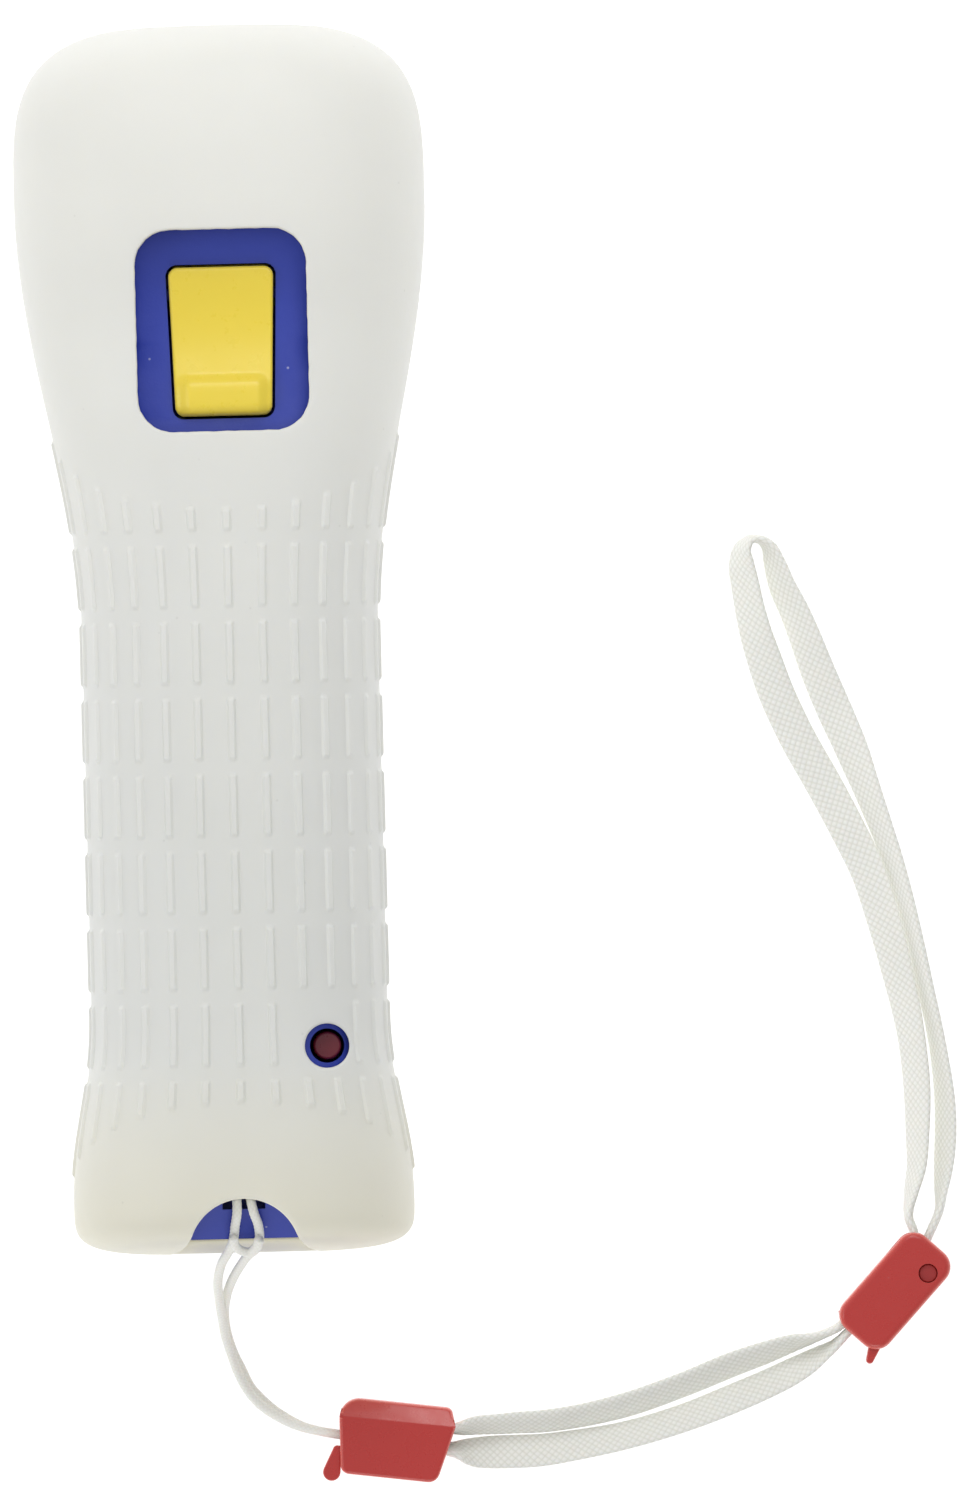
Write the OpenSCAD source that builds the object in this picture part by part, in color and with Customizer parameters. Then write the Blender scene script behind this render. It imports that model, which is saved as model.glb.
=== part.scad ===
// Handheld motion controller in a soft grip jacket, with its cord, clip, lace and lock.
// It lies face down: X across, Y towards the head, Z out of its back. Millimetres.

/* [Controller body] */
// Length of the controller inside its jacket
body_len = 148; // [144:0.5:150]
// Width of the controller
body_w = 36.2; // [35.4:0.1:36.8]
// Depth of the controller from its face to its back
body_h = 29; // [28.5:0.25:30]
// Radius of the two long back edges
back_r = 12; // [11:0.25:12.5]
// Radius of the two long front edges
front_r = 2.5; // [2:0.1:3.5]
// Radius of the corners in plan
plan_r = 3; // [1.5:0.25:4]
// Wall of both shells
shell_wall = 1.8; // [1.5:0.1:2.1]
// Depth of the front shell, face to parting line
front_depth = 9; // [8.6:0.1:9.6]

/* [Grip jacket] */
// Length over the jacket
jacket_len = 161; // [159:0.5:164]
// Width over the head bumper
head_w = 53.8; // [50:0.2:58]
// Wall at the sides of the grip, between its ribs
grip_side = 1.3; // [1.2:0.05:3]
// Width over the flared base
base_w = 44.6; // [42:0.2:48]
// Thickness over the controller's back at the head crest
head_pad = 6.8; // [6:0.2:9]
// Thickness over the back in the dip round the trigger window
dip_pad = 3.2; // [3:0.1:5]
// Thickness over the back along the grip
grip_pad = 2.4; // [2.3:0.1:4]
// Thickness over the back at the flared base
base_pad = 4.8; // [4:0.2:7]
// Height of the line where the jacket is widest
belly_z = 17; // [15:0.5:19]
// Height of the rim that stands proud of the face
rim_h = 3.2; // [3:0.1:4]
// Width of the rim that laps over the face
rim_lap = 2.8; // [2.2:0.1:3.4]
// Thickness of the jacket behind the tail
tail_wall = 2; // [1.8:0.1:2.6]
// Clearance between the jacket and the controller
jacket_fit = 0.2; // [0.1:0.05:0.3]

/* [Grip ribs] */
// Columns of ribs on each side of the middle one
rib_columns = 7; // [3:1:7]
// Angle from one column of ribs to the next, seen from the jacket's axis
rib_turn = 13; // [12:0.25:13]
// Full rows of ribs
rib_rows = 7; // [4:1:7]
// Distance from one row to the next
rib_pitch = 10; // [9:0.1:10.2]
// Length of a rib
rib_len = 8.2; // [6:0.1:8.6]
// Width of a rib at its foot
rib_w = 1; // [0.6:0.1:1.4]
// Height of a rib
rib_h = 0.35; // [0.2:0.05:0.6]
// Place of the first full row along the jacket
rib_start = 8.2; // [6:0.2:10]

/* [Openings in the jacket] */
// Width of the trigger window
window_w = 22.4; // [20:0.2:24]
// Length of the trigger window
window_len = 26.4; // [25:0.2:29]
// Corner radius of the trigger window
window_r = 4.6; // [2:0.2:6]
// How far the middle of the trigger window lies below the trigger's pivot
window_drop = 6.6; // [6:0.1:7]
// Diameter of the hole over the sync button
sync_hole_d = 5.8; // [5:0.1:7]
// Width of the notch in the tail
notch_w = 21.2; // [16.4:0.2:22]
// Length of the notch from the end of the jacket
notch_len = 7.4; // [6:0.2:9]
// Width of the tunnel in front of the sensor window
tunnel_w = 24; // [22:0.5:28]
// Height of the tunnel in front of the sensor window
tunnel_h = 11.6; // [11:0.2:14]

/* [Trigger] */
// Width of the trigger at its pivot end
trigger_w = 13.8; // [12:0.2:14.4]
// How much narrower the trigger is at its lip
trigger_taper = 1.2; // [0:0.1:2]
// Distance from the pivot to the end of the lip
trigger_reach = 17.8; // [17.4:0.1:18.6]
// Radius of the trigger's corners
trigger_r = 1.1; // [0.4:0.1:2]
// Radius of the lip
lip_r = 2.8; // [1.8:0.1:3.2]
// Distance of the pivot from the head end of the controller
pivot_back = 22.6; // [22:0.1:23]
// Depth of the pivot below the back
pivot_depth = 4.8; // [4.6:0.1:5.2]
// Diameter of the pivot pin
pivot_d = 2; // [1.6:0.1:2.2]
// Gap round the trigger
trigger_gap = 0.35; // [0.25:0.05:0.6]
// Wire of the trigger spring
spring_wire = 0.7; // [0.5:0.05:0.8]
// Outer diameter of the trigger spring
spring_d = 4.6; // [4:0.1:5.2]

/* [Face buttons] */
// How far the buttons stand proud of the face
button_proud = 1; // [0.6:0.1:1.6]
// Clearance round a button
button_fit = 0.1; // [0.08:0.01:0.1]
// Thickness of the flange that holds a button in
flange_t = 0.8; // [0.6:0.1:0.9]
// How far the flange reaches past the button
flange_lap = 0.8; // [0.5:0.1:1]
// Diameter of the main button
main_d = 12.4; // [11:0.2:13]
// Diameter of the three middle buttons
middle_d = 5.6; // [5:0.2:6.4]
// Diameter of the two numbered buttons
number_d = 7.6; // [7:0.2:8.4]
// Diameter of the power button
power_d = 6; // [5:0.2:6.6]
// Span of the direction pad
pad_span = 20; // [18:0.5:21]
// Width of an arm of the direction pad
pad_arm = 6.8; // [6:0.2:7.4]
// Gap round the direction pad, which tilts
pad_gap = 0.5; // [0.45:0.05:0.7]

/* [Inside] */
// Diameter of a battery cell
cell_d = 14.4; // [14:0.1:14.5]
// Length of a battery cell without its nub
cell_len = 49; // [48:0.25:49.5]
// Thickness of the main board
board_t = 1.2; // [0.8:0.1:1.6]
// Room between the front wall and the board
board_rise = 3.5; // [3.4:0.1:3.7]
// Diameter of the speaker
speaker_d = 15; // [12:0.5:16]
// Diameter of the rumble motor
motor_d = 7.5; // [6:0.25:8]
// Radius of the rumble weight
weight_r = 4.2; // [3.5:0.1:4.5]
// Diameter of the case screws
screw_d = 2.2; // [1.8:0.1:2.5]
// Diameter of the sync button
sync_d = 3.7; // [3.2:0.1:4.2]

/* [Cord, clip and lock] */
// Diameter of the thin cord
cord_d = 1.25; // [1:0.05:1.25]
// Width of the flat lace
lace_w = 4.8; // [4:0.1:5]
// Thickness of the flat lace
lace_t = 1.2; // [0.9:0.05:1.25]
// Height of the clip and the lock
lock_h = 7.4; // [7.2:0.1:8]
// Plates of the clip and the lock
lock_plate = 1; // [0.8:0.05:1]
// Length of the clip between cord and lace
clip_len = 15.3; // [14:0.1:16.5]
// Length of the sliding lock
lock_len = 16; // [14:0.1:16.5]
// Diameter of the lock's pin
lock_pin_d = 2.4; // [2:0.1:2.5]
// Diameter of the clip's pin
clip_pin_d = 1.8; // [1.4:0.1:2]

/* [Hidden] */
$fn = 48;
small_fn = 24;

// Small overshoot of a cut past the face it goes through
cut = 1;
// Clearance of pins in their bores, on the radius
pin_fit = 0.05;
// Gap between loose pieces that lie together
rest_gap = 0.1;

// Planes and ends of the controller
z_face = rim_h;
z_back = z_face + body_h;
z_part = z_face + front_depth;
z_in = z_face + shell_wall;
z_roof = z_back - shell_wall;
y_tail = -jacket_len / 2 + tail_wall;
y_head = y_tail + body_len;
in_x = body_w / 2 - shell_wall;
back_z = z_back - back_r;
pivot_y = y_head - pivot_back;
window_y = pivot_y - window_drop;

// Board, and the screw bosses at its corners
z_board = z_in + board_rise;
z_board_top = z_board + board_t;
board_gap = 0.7;
boss_r = 2.75;
tube_r = 3;
boss_x = in_x - tube_r - 0.1;
boss_ys = [y_tail + 12, y_head - 5.2];
notch_r = boss_r + 4 * rest_gap;
screw_head_d = screw_d + 2;
screw_head_h = 1.5;
screw_seat_z = z_part + 3.3;
screw_depth = 5;
post_r = 1.8;
post_x = in_x - post_r - 1.5;
post_ys = [y_head - 97.5, y_head - 61.5];

// Battery bay in the rear shell, closed by the cover
cover_y0 = y_tail + 17.5;
cover_y1 = y_tail + 87.5;
cover_gap = 0.15;
cover_z = back_z;
bulkhead_t = 1.4;
tab_w = 5;
tab_len = 2.4;
tab_t = 1.2;
tab_x = 8;
cell_z = z_roof - 0.85 - cell_d / 2;
cell_x = cell_d / 2 + 0.2;
tray_t = 1.2;
tray_z = cell_z - cell_d / 2 - rest_gap;
nub_d = 5.4;
nub_h = 1.2;
bay_spring_len = 4;
bay_spring_d = 7;
bay_spring_turns = 3;
bay_wire = 0.6;
contact_t = 0.5;
contact_w = 9;
bay_len = cell_len + nub_h + bay_spring_len + 2 * rest_gap;
bay_y1 = cover_y1 - 3;
bay_y0 = bay_y1 - bay_len;

// Sync button, reached through the cover and the jacket
sync_x = 11.4;
sync_y = y_tail + 25;
sync_well = 0.4;
sync_top = back_z + sqrt(pow(back_r, 2) - pow(sync_x - body_w / 2 + back_r, 2)) - 1.8;
sync_travel = 0.6;
switch_h = 1.3;

// Chips and the sync switch on the board: middle and side of each
chips = [[0, y_tail + 51, 10], [-4, y_tail + 76, 8], [sync_x, sync_y, 5]];

// Trigger, seen from the side
pivot_z = z_back - pivot_depth;
bed_z = z_back - 4;
bed_y0 = pivot_y - 26;
bed_y1 = pivot_y + 9;
seat_r = 100;
seat_dip = 1.6;
seat_y = pivot_y - 8.2;
plate_top = z_back - 0.6;
plate_t = 3;
plate_end = pivot_y + 1.7;
hinge_r = pivot_d / 2 + 1.1;
hinge_x = trigger_w / 2 - 0.5;
ear_t = 2;
ear_gap = 0.4;
ear_x = hinge_x + ear_gap;
ear_r = pivot_d / 2 + 1.5;
lip_y = pivot_y - trigger_reach + lip_r + 0.3;
lip_z = z_back + 1 - lip_r;
scoop_r = 11.9;
scoop_y = pivot_y - 7.4;
scoop_z = z_back - 2.1 + scoop_r;
shelf_z = z_part + 6.4;
shelf_t = 1.6;
shelf_y0 = pivot_y - 17.5;
shelf_y1 = pivot_y - 3.5;
spring_y = pivot_y - 14.1;
spring_turns = 5;
plunger_y = pivot_y - 8;
plunger_w = 2;
plunger_z = shelf_z + 5.6;
switch_w = 6;
switch_top = shelf_z + 3.8;
switch_cap = 1;

// Face layout, measured from the head end; the left of the face is at plus X
pad_from_head = 25.5;
power_from_head = 13;
main_from_head = 49;
middle_from_head = 73.5;
speaker_from_head = 86.5;
one_from_head = 108.5;
two_from_head = 119.5;
lights_from_head = 135;
pad_y = y_head - pad_from_head;
power_x = 9.5;
power_y = y_head - power_from_head;
main_y = y_head - main_from_head;
middle_x = 10.8;
middle_y = y_head - middle_from_head;
speaker_y = y_head - speaker_from_head;
one_y = y_head - one_from_head;
two_y = y_head - two_from_head;
lights_y = y_head - lights_from_head;
light_step = 5.6;
light_w = 2.6;
light_len = 1.6;
light_fit = 0.05;
cap_edge = 0.4;
dome_h = 1.8;
pad_dome_h = 0.8;
pad_flange_r = pad_span / 2 - 0.2;
pad_flange_z = z_in + 1;
pad_flange_t = 0.8;
pad_dome_at = 7;
stem_r = 1.5;
holes_pitch = 2.4;
holes_d = 1.3;

// Head end: sensor window and camera
sensor_z = z_part + 6.8;
sensor_w = 20;
sensor_h = 8.8;
sensor_fit = 0.1;
camera_w = 8.6;
camera_back = 11;
camera_front = 6.5;
lens_r = 2.6;

// Tail end: accessory port, and the block that holds the strap bar
port_w = 15;
port_h = 7;
port_z = z_part + 5.4;
port_wall = 1.4;
port_depth = 11;
port_len = 13.5;
tongue_t = 1.2;
tongue_gap = 0.7;
block_w = 17;
block_side = 0.6;
block_len = 10.5;
block_z = z_back - 9.4;
slope_len = 6;
slope_drop = 5.5;
slot_w = 5.6;
slot_y0 = y_tail + 3.9;
slot_y1 = y_tail + 9;
slot_z = z_back - 7;
bar_d = 1.8;
bar_len = 13;
bar_y = y_tail + 7.1;
bar_z = z_back - 4.6;

// Rumble motor, across the body
motor_y = pivot_y - 30;
motor_z = z_board_top + 2 + motor_d / 2;
motor_x0 = -9;
motor_x1 = 3;
mount_len = 9;
mount_wall = 1;
shaft_d = 1;
weight_gap = 0.6;
weight_t = 4.5;

// Jacket shape: where each width and height holds along the length
grip_w = body_w + 2 * grip_side;
head_back = z_back + head_pad;
dip_back = z_back + dip_pad;
grip_back = z_back + grip_pad;
base_back = z_back + base_pad;
jacket_y0 = -jacket_len / 2;
jacket_y1 = jacket_len / 2;
head_end = 22.5;
base_end = 7;
head_y = jacket_y1 - head_end;
base_y = jacket_y0 + base_end;
waist_y = jacket_y1 - 80;
flare_y = jacket_y0 + 31;
dip_y = window_y - 2;
back_power = 2.6;
front_power = 5;
front_sink = 4;
head_plan_power = 3.5;
head_side_power = 3.6;
base_plan_power = 4.5;
base_side_power = 2.8;
ring_sides = 36;
ring_step = 6.4;
end_blunt = 0.995;
arc_steps = 5;
head_rings = [0.3, 0.5, 0.66, 0.78, 0.87, 0.94, 0.98, 1];
base_rings = [0.35, 0.58, 0.74, 0.86, 0.94, 0.98, 1];
rib_sink = 0.6;
rib_crest = 0.6;
rib_margin = 0.9;
end_rib = 3;
end_rib_gain = 0.19;
face_tail = 8;
face_head = 4;
face_r = 6;
tunnel_r = 2.4;
notch_arch = 6.8;
notch_floor = z_part - 1.2;

// Clip between the cord and the lace: place, heading, lanes and the rounding of its corners
clip_at = [19, -105.7];
clip_turn = -7.4;
clip_wall_y = 5;
clip_lane_y = 3;
clip_open_y = -5;
clip_pin_at = [4.2, -3.2];
clip_hub_r = 1.7;
clip_elbow = [-7.5, -2];
clip_elbow_r = 0.55;
clip_tip = [-7.9, -5];
clip_tip_r = 1.15;
clip_bevel_w = 2.4;
clip_bevel_h = 1.3;
clip_r = 2.6;
clip_low_r = 1.2;
clip_sharp_r = 0.6;
clip_slant = 1.6;
clip_web_x = [-0.95, 0.9];
clip_web_y = -1.7;

// Sliding lock on the lace: place, heading and lanes; its wall stops short where the lace spreads
lock_at = [85, -87.7];
lock_turn = 47.4;
lock_wall_y = 4;
lock_wall_end = 3.4;
lock_lane_y = 3.1;
lock_open_y = -4;
lock_pin_at = [4.6, -1.75];
lock_hub_r = 1.9;
lock_elbow = [-6.5, -2.5];
lock_elbow_r = 0.9;
lock_tip = [-9, -3.5];
lock_tip_r = 0.5;
lock_r = 2.4;
lever_gap = 0.15;
pin_sink = 0.5;

// Route of each thin cord, from the strap bar to the clip, and of the hitch that lies over both
cord_left_route = [[-0.9, -71.4, 29.3], [-0.9, -73.2, 31.5], [-0.9, -74.8, 31.4], [-1.2, -76.7, 29.7],
    [-1.5, -78.6, 27.8], [-2.1, -80, 26], [-3.1, -81.7, 23.4], [-3.7, -84, 19.9], [-3.6, -86.6, 15.9],
    [-3.3, -89, 12.2], [-2.9, -91.7, 8.6], [-2.2, -94.1, 6], [-1.5, -96.2, 4.4], [-0.3, -98.6, 3.3],
    [1.1, -100.4, 2.9], [2.6, -101.6, 2.8], [4.4, -102.7, 3.1], [6.8, -103.7, 3.7], [8.8, -104.2, 4.2],
    [11.3, -104.7, 4.4], [17.9, -105.55, 4.4]];
cord_right_route = [[0.9, -71.4, 29.3], [0.9, -73.2, 31.5], [1.2, -74.8, 31.4], [1.8, -76.7, 29.7],
    [1.9, -78.6, 27.8], [1.4, -79.9, 26.2], [0.4, -80.7, 24.7], [-0.7, -82.1, 22.2], [-1.9, -84.1, 18.5],
    [-2.7, -86.3, 14.2], [-3, -89, 9.6], [-2.6, -91.7, 6], [-1.8, -94.1, 3.6], [-0.9, -96, 2.3],
    [0.2, -98.3, 1.6], [1.6, -99.9, 1.4], [3, -101.2, 1.4], [4.7, -102.4, 1.6], [6.9, -103.6, 2.2],
    [8.8, -104.2, 2.8], [11.3, -104.7, 3], [17.9, -105.55, 3]];
cord_hitch_route = [[-1.45, -78.2, 30], [-1.35, -79.2, 29.1], [-0.6, -80, 27.9], [0.4, -80.3, 27.5],
    [1.4, -79.7, 28.4], [1.9, -78.5, 29.8]];

// Route of the lace, from the clip through the lock, round the wrist loop and back again:
// each point has its place and the angle that the lace stands up from flat
lace_route = [[20.25, -103.6, 3.7, 90], [26.9, -104.5, 3.7, 90], [28.6, -104.4, 3.3, 80],
    [31.5, -104.3, 2.6, 62], [35, -104.2, 2.4, 57], [38.3, -104, 2.4, 55], [42, -103.5, 2.3, 54],
    [49.4, -101.8, 2.3, 50], [56.8, -99.4, 2.3, 50], [64.2, -96.6, 2.3, 50], [67.9, -95.4, 2.4, 55],
    [71.6, -94.2, 2.5, 66], [74.8, -93.4, 3.1, 84], [77.6, -92.2, 3.7, 90], [79.9, -89.8, 3.7, 90],
    [87.4, -81.6, 3.7, 90], [87.7, -80.3, 3.7, 90], [87.1, -78.2, 3.4, 92], [87.5, -75, 2.7, 106],
    [88.3, -71.3, 2.5, 118], [88.5, -67.4, 2.3, 126], [88.6, -61.6, 2.2, 134], [88.1, -55, 2.2, 136],
    [86.2, -45, 1.8, 148], [84.6, -38.4, 1.5, 157], [82.8, -32.4, 1.3, 164], [80.4, -27.1, 1.1, 170],
    [77.4, -21.1, 0.8, 176], [73.9, -14.5, 0.8, 176], [71.3, -8.5, 1, 172], [69.9, -4.2, 1.4, 162],
    [68.9, -0.8, 1.8, 150], [68.2, 2.4, 2, 142], [67.7, 5.4, 2.1, 138], [67.3, 8.4, 2.3, 130],
    [67.6, 10.4, 2.5, 112], [68.6, 11.4, 2.5, 96], [69.8, 11.3, 2.5, 86], [70.9, 10.3, 2.5, 72],
    [71.6, 8.3, 2.4, 58], [72.5, 5.3, 2.2, 46], [74.1, 1.7, 2, 38], [75.5, -2, 1.8, 30],
    [76.9, -6, 1.4, 20], [78.7, -10.6, 1.2, 14], [80.9, -15.9, 1.6, 24], [82.8, -21.2, 2.1, 42],
    [84.5, -26.1, 2.3, 52], [86.2, -31.2, 2.4, 60], [87.8, -37.1, 2.5, 66], [89.1, -43.1, 2.5, 68],
    [90.1, -48.4, 2.5, 68], [91, -53, 2.5, 68], [91.7, -57.6, 2.5, 66], [92.2, -63, 2.5, 60],
    [92.2, -67, 2.4, 58], [91.9, -71, 2.6, 62], [91.5, -74.4, 3, 74], [91.1, -77.3, 3.6, 88],
    [90, -79.8, 3.7, 90], [89, -81.8, 3.7, 90], [80.9, -90.7, 3.7, 90], [78.6, -93.1, 3.7, 90],
    [76.8, -94.8, 3.1, 80], [74.6, -96.2, 2.5, 62], [71.5, -97.9, 2.2, 47], [67.8, -99.6, 2.1, 42],
    [64.1, -101.1, 2.1, 40], [56.7, -103.8, 2.1, 43], [49.3, -105.8, 2.1, 43], [41.9, -107.2, 2.1, 41],
    [38.2, -107.8, 2, 38], [34.5, -108.1, 2, 38], [31, -108, 2.2, 46], [28.4, -107.7, 3, 70],
    [25.8, -107.2, 3.7, 90], [19.9, -106.4, 3.7, 90]];

// Working functions

function unit(v) = v / norm(v);
function clamp(t) = min(1, max(0, t));
function ease(t) = (1 - cos(180 * clamp(t))) / 2;
function blend(a, b, t) = a + (b - a) * ease(t);
function span(v, a, b) = (v - a) / (b - a);
function power_of(v, p) = sign(v) * pow(abs(v), p);

// Direction of a route at each of its points
function headings(route) = let (last = len(route) - 1)
    [for (i = [0:last]) unit(route[min(i + 1, last)] - route[max(i - 1, 0)])];

// A direction kept square to the next heading
function carry(side, heading) = unit(side - (side * heading) * heading);
function sides(ways, first) = let (last = len(ways) - 1)
    [for (i = 0, s = carry(first, ways[0]); i <= last; i = i + 1, s = carry(s, ways[min(i, last)])) s];

// Rings of a round cord
function cord_rings(route, d, count, first) = let (ways = headings(route), across = sides(ways, first))
    [for (i = [0:len(route) - 1]) let (up = cross(ways[i], across[i]))
        [for (j = [0:count - 1]) let (a = 360 * j / count)
            route[i] + d / 2 * (cos(a) * across[i] + sin(a) * up)]];

// Rings of a flat lace, as wide and thick as given, with its corners taken off
function flat_rings(route, w, t) = let (
        places = [for (p = route) [p[0], p[1], p[2]]],
        ways = headings(places),
        outline = [[0.5, 0.2], [0.36, 0.5], [-0.36, 0.5], [-0.5, 0.2],
            [-0.5, -0.2], [-0.36, -0.5], [0.36, -0.5], [0.5, -0.2]])
    [for (i = [0:len(route) - 1]) let (
            level = unit(cross([0, 0, 1], ways[i])),
            wide = cos(route[i][3]) * level + sin(route[i][3]) * cross(ways[i], level),
            thin = cross(ways[i], wide))
        [for (p = outline) places[i] + p[0] * w * wide + p[1] * t * thin]];

// Points of a coil that stands on its first end
function coil_points(r, height, turns, per_turn = 8) =
    [for (i = [0:turns * per_turn]) let (a = 360 * i / per_turn)
        [r * cos(a), r * sin(a), height * i / (turns * per_turn)]];

// Jacket at a place along its length: half width, rise of the back, depth of the front
function jacket_half(y) = y > waist_y
    ? blend(grip_w, head_w, span(y, waist_y, head_y)) / 2
    : blend(grip_w, base_w, span(y, flare_y, base_y)) / 2;
function jacket_rise(y) = (y > dip_y ? blend(dip_back, head_back, span(y, dip_y, head_y))
    : y > flare_y ? blend(grip_back, dip_back, span(y, waist_y, dip_y))
    : blend(grip_back, base_back, span(y, flare_y, base_y))) - belly_z;
function end_t(y) = end_blunt * max(span(y, head_y, jacket_y1), span(y, base_y, jacket_y0), 0);
function fade(t, p) = pow(1 - pow(t, p), 1 / p);
function plan_fade(y) = fade(end_t(y), y > 0 ? head_plan_power : base_plan_power);
function side_fade(y) = fade(end_t(y), y > 0 ? head_side_power : base_side_power);

function jacket_ring(y) = let (
        half = jacket_half(y) * plan_fade(y),
        rise = jacket_rise(y) * side_fade(y),
        depth = (belly_z + front_sink) * plan_fade(y))
    [for (j = [0:ring_sides - 1]) let (a = 360 * j / ring_sides, top = cos(a) >= 0,
            p = 2 / (top ? back_power : front_power))
        [half * power_of(sin(a), p), y, belly_z + (top ? rise : depth) * power_of(cos(a), p)]];

// Height and sideways lean of the jacket's back at a share of its half width
function jacket_z(y, share) = belly_z + jacket_rise(y) * pow(1 - pow(abs(share), back_power), 1 / back_power);
function jacket_lean(y, share) = atan2(
    sign(share) * pow(abs(share), back_power - 1) * jacket_rise(y),
    jacket_half(y) * pow(1 - pow(abs(share), back_power), 1 - 1 / back_power));

// Outline with each corner replaced by points on an arc
function corner_arc(p, before, after, r) = let (
        u = unit(before - p),
        v = unit(after - p),
        half = acos(u * v) / 2,
        centre = p + unit(u + v) * r / sin(half),
        first = p + u * r / tan(half) - centre,
        last = p + v * r / tan(half) - centre)
    [for (i = [0:arc_steps]) centre + r * unit(first * (arc_steps - i) + last * i)];
function round_outline(points, r) = let (n = len(points))
    [for (i = [0:n - 1]) each corner_arc(points[i], points[(i + n - 1) % n], points[(i + 1) % n], r)];

// Working modules

// A solid skinned over rings of points
module skin(rings) {
    n = len(rings[0]);
    last = len(rings) - 1;
    polyhedron(
        points = [for (ring = rings, p = ring) p],
        faces = concat(
            [for (j = [1:n - 2]) [0, j, j + 1]],
            [for (i = [0:last - 1], j = [0:n - 1], half = [0, 1]) let (
                    a = i * n + j, b = i * n + (j + 1) % n, c = b + n, d = a + n)
                half == 0 ? [a, d, c] : [a, c, b]],
            [for (j = [1:n - 2]) [last * n, last * n + j + 1, last * n + j]]));
}

// A profile of X and Z run along Y
module along_y(y0, y1)
    translate([0, y1, 0]) rotate([90, 0, 0]) linear_extrude(y1 - y0) children();

// A profile of Y and Z run along X
module along_x(x0, x1)
    translate([x0, 0, 0]) rotate([90, 0, 90]) linear_extrude(x1 - x0) children();

module rod_x(x0, x1, r, y, z)
    translate([x0, y, z]) rotate([0, 90, 0]) cylinder(r = r, h = x1 - x0);

module rod_y(y0, y1, r, x, z)
    translate([x, y0, z]) rotate([-90, 0, 0]) cylinder(r = r, h = y1 - y0);

module rod_z(z0, z1, r, x, y)
    translate([x, y, z0]) cylinder(r = r, h = z1 - z0);

module box(x0, x1, y0, y1, z0, z1)
    translate([x0, y0, z0]) cube([x1 - x0, y1 - y0, z1 - z0]);

module round_rect(w, h, r) {
    square([w - 2 * r, h], center = true);
    square([w, h - 2 * r], center = true);
    for (x = [-1, 1], y = [-1, 1])
        translate([x * (w / 2 - r), y * (h / 2 - r)]) circle(r);
}

// Section of the controller across its length, grown or shrunk all round
module body_section(grow = 0) {
    half = body_w / 2 + grow;
    rb = back_r + grow;
    rf = front_r + grow;
    top = z_back + grow;
    bottom = z_face - grow;
    translate([-half + rb, bottom]) square([2 * (half - rb), top - bottom]);
    translate([-half + rf, bottom]) square([2 * (half - rf), top - rb - bottom]);
    translate([-half, bottom + rf]) square([2 * half, top - rb - bottom - rf]);
    for (x = [-1, 1]) {
        translate([x * (half - rb), top - rb]) circle(rb);
        translate([x * (half - rf), bottom + rf]) circle(rf);
    }
}

// The controller's outer form, with its corners rounded in plan
module body_block() intersection() {
    along_y(y_tail, y_head) body_section();
    translate([0, (y_tail + y_head) / 2, 0])
        linear_extrude(z_back + cut) round_rect(body_w, body_len, plan_r);
}

module body_hollow()
    along_y(y_tail + shell_wall, y_head - shell_wall) body_section(-shell_wall);

// Grip jacket

module jacket_loft() {
    steps = ceil((head_y - base_y) / ring_step);
    ends = concat(
        [for (i = [len(base_rings) - 1:-1:0]) base_y - base_rings[i] * base_end],
        [for (i = [0:steps]) base_y + (head_y - base_y) * i / steps],
        [for (t = head_rings) head_y + t * head_end]);
    skin([for (y = ends) jacket_ring(y)]);
}

// One rib between two places along the jacket, standing square to its back
module rib(column, y0, y1) {
    share = sin(min(rib_turn * abs(column), 88)) * sign(column);
    hull() for (y = [y0 + rib_w / 2, y1 - rib_w / 2])
        translate([share * jacket_half(y), y, jacket_z(y, share)])
            rotate([0, jacket_lean(y, share), 0])
                translate([0, 0, -rib_sink])
                    linear_extrude(rib_sink + rib_h, scale = rib_crest) square(rib_w, center = true);
}

module grip_ribs() {
    first = rib_start + rib_pitch - rib_len / 2;
    last = rib_start - rib_rows * rib_pitch + rib_len / 2;
    for (column = [-rib_columns:rib_columns]) {
        extra = end_rib + end_rib_gain * pow(column, 2);
        x = sin(min(rib_turn * abs(column), 88)) * sign(column) * grip_w / 2;
        rib(column, first, first + extra);
        rib(column, last - extra, last);
        for (row = [0:rib_rows - 1]) let (y = rib_start - row * rib_pitch)
            if (abs(x - sync_x) > sync_hole_d / 2 + rib_margin || abs(y - sync_y) > rib_pitch / 2)
                rib(column, y - rib_len / 2, y + rib_len / 2);
    }
}

module tail_notch() linear_extrude(head_back + cut) hull() {
    translate([-notch_w / 2, jacket_y0 - cut]) square([notch_w, cut]);
    translate([0, jacket_y0 + notch_len - notch_arch]) circle(notch_arch);
}

module grip_jacket() color("ghostwhite") difference() {
    union() {
        jacket_loft();
        grip_ribs();
    }
    along_y(y_tail - jacket_fit, y_head + jacket_fit) body_section(jacket_fit);
    box(-head_w, head_w, -jacket_len, jacket_len, -front_sink - cut, 0);
    translate([0, (y_tail + face_tail + y_head - face_head) / 2, -cut])
        linear_extrude(z_face + 2 * cut)
            round_rect(body_w - 2 * rim_lap, body_len - face_tail - face_head, face_r);
    translate([0, window_y, back_z]) linear_extrude(head_back) round_rect(window_w, window_len, window_r);
    rod_z(back_z, head_back + cut, sync_hole_d / 2, sync_x, sync_y);
    translate([0, 0, notch_floor]) tail_notch();
    along_y(y_head - cut, jacket_y1 + cut)
        translate([0, sensor_z]) round_rect(tunnel_w, tunnel_h, tunnel_r);
}

// Controller shells

module screw_places() for (x = [-boss_x, boss_x], y = boss_ys) translate([x, y, 0]) children();

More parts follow.
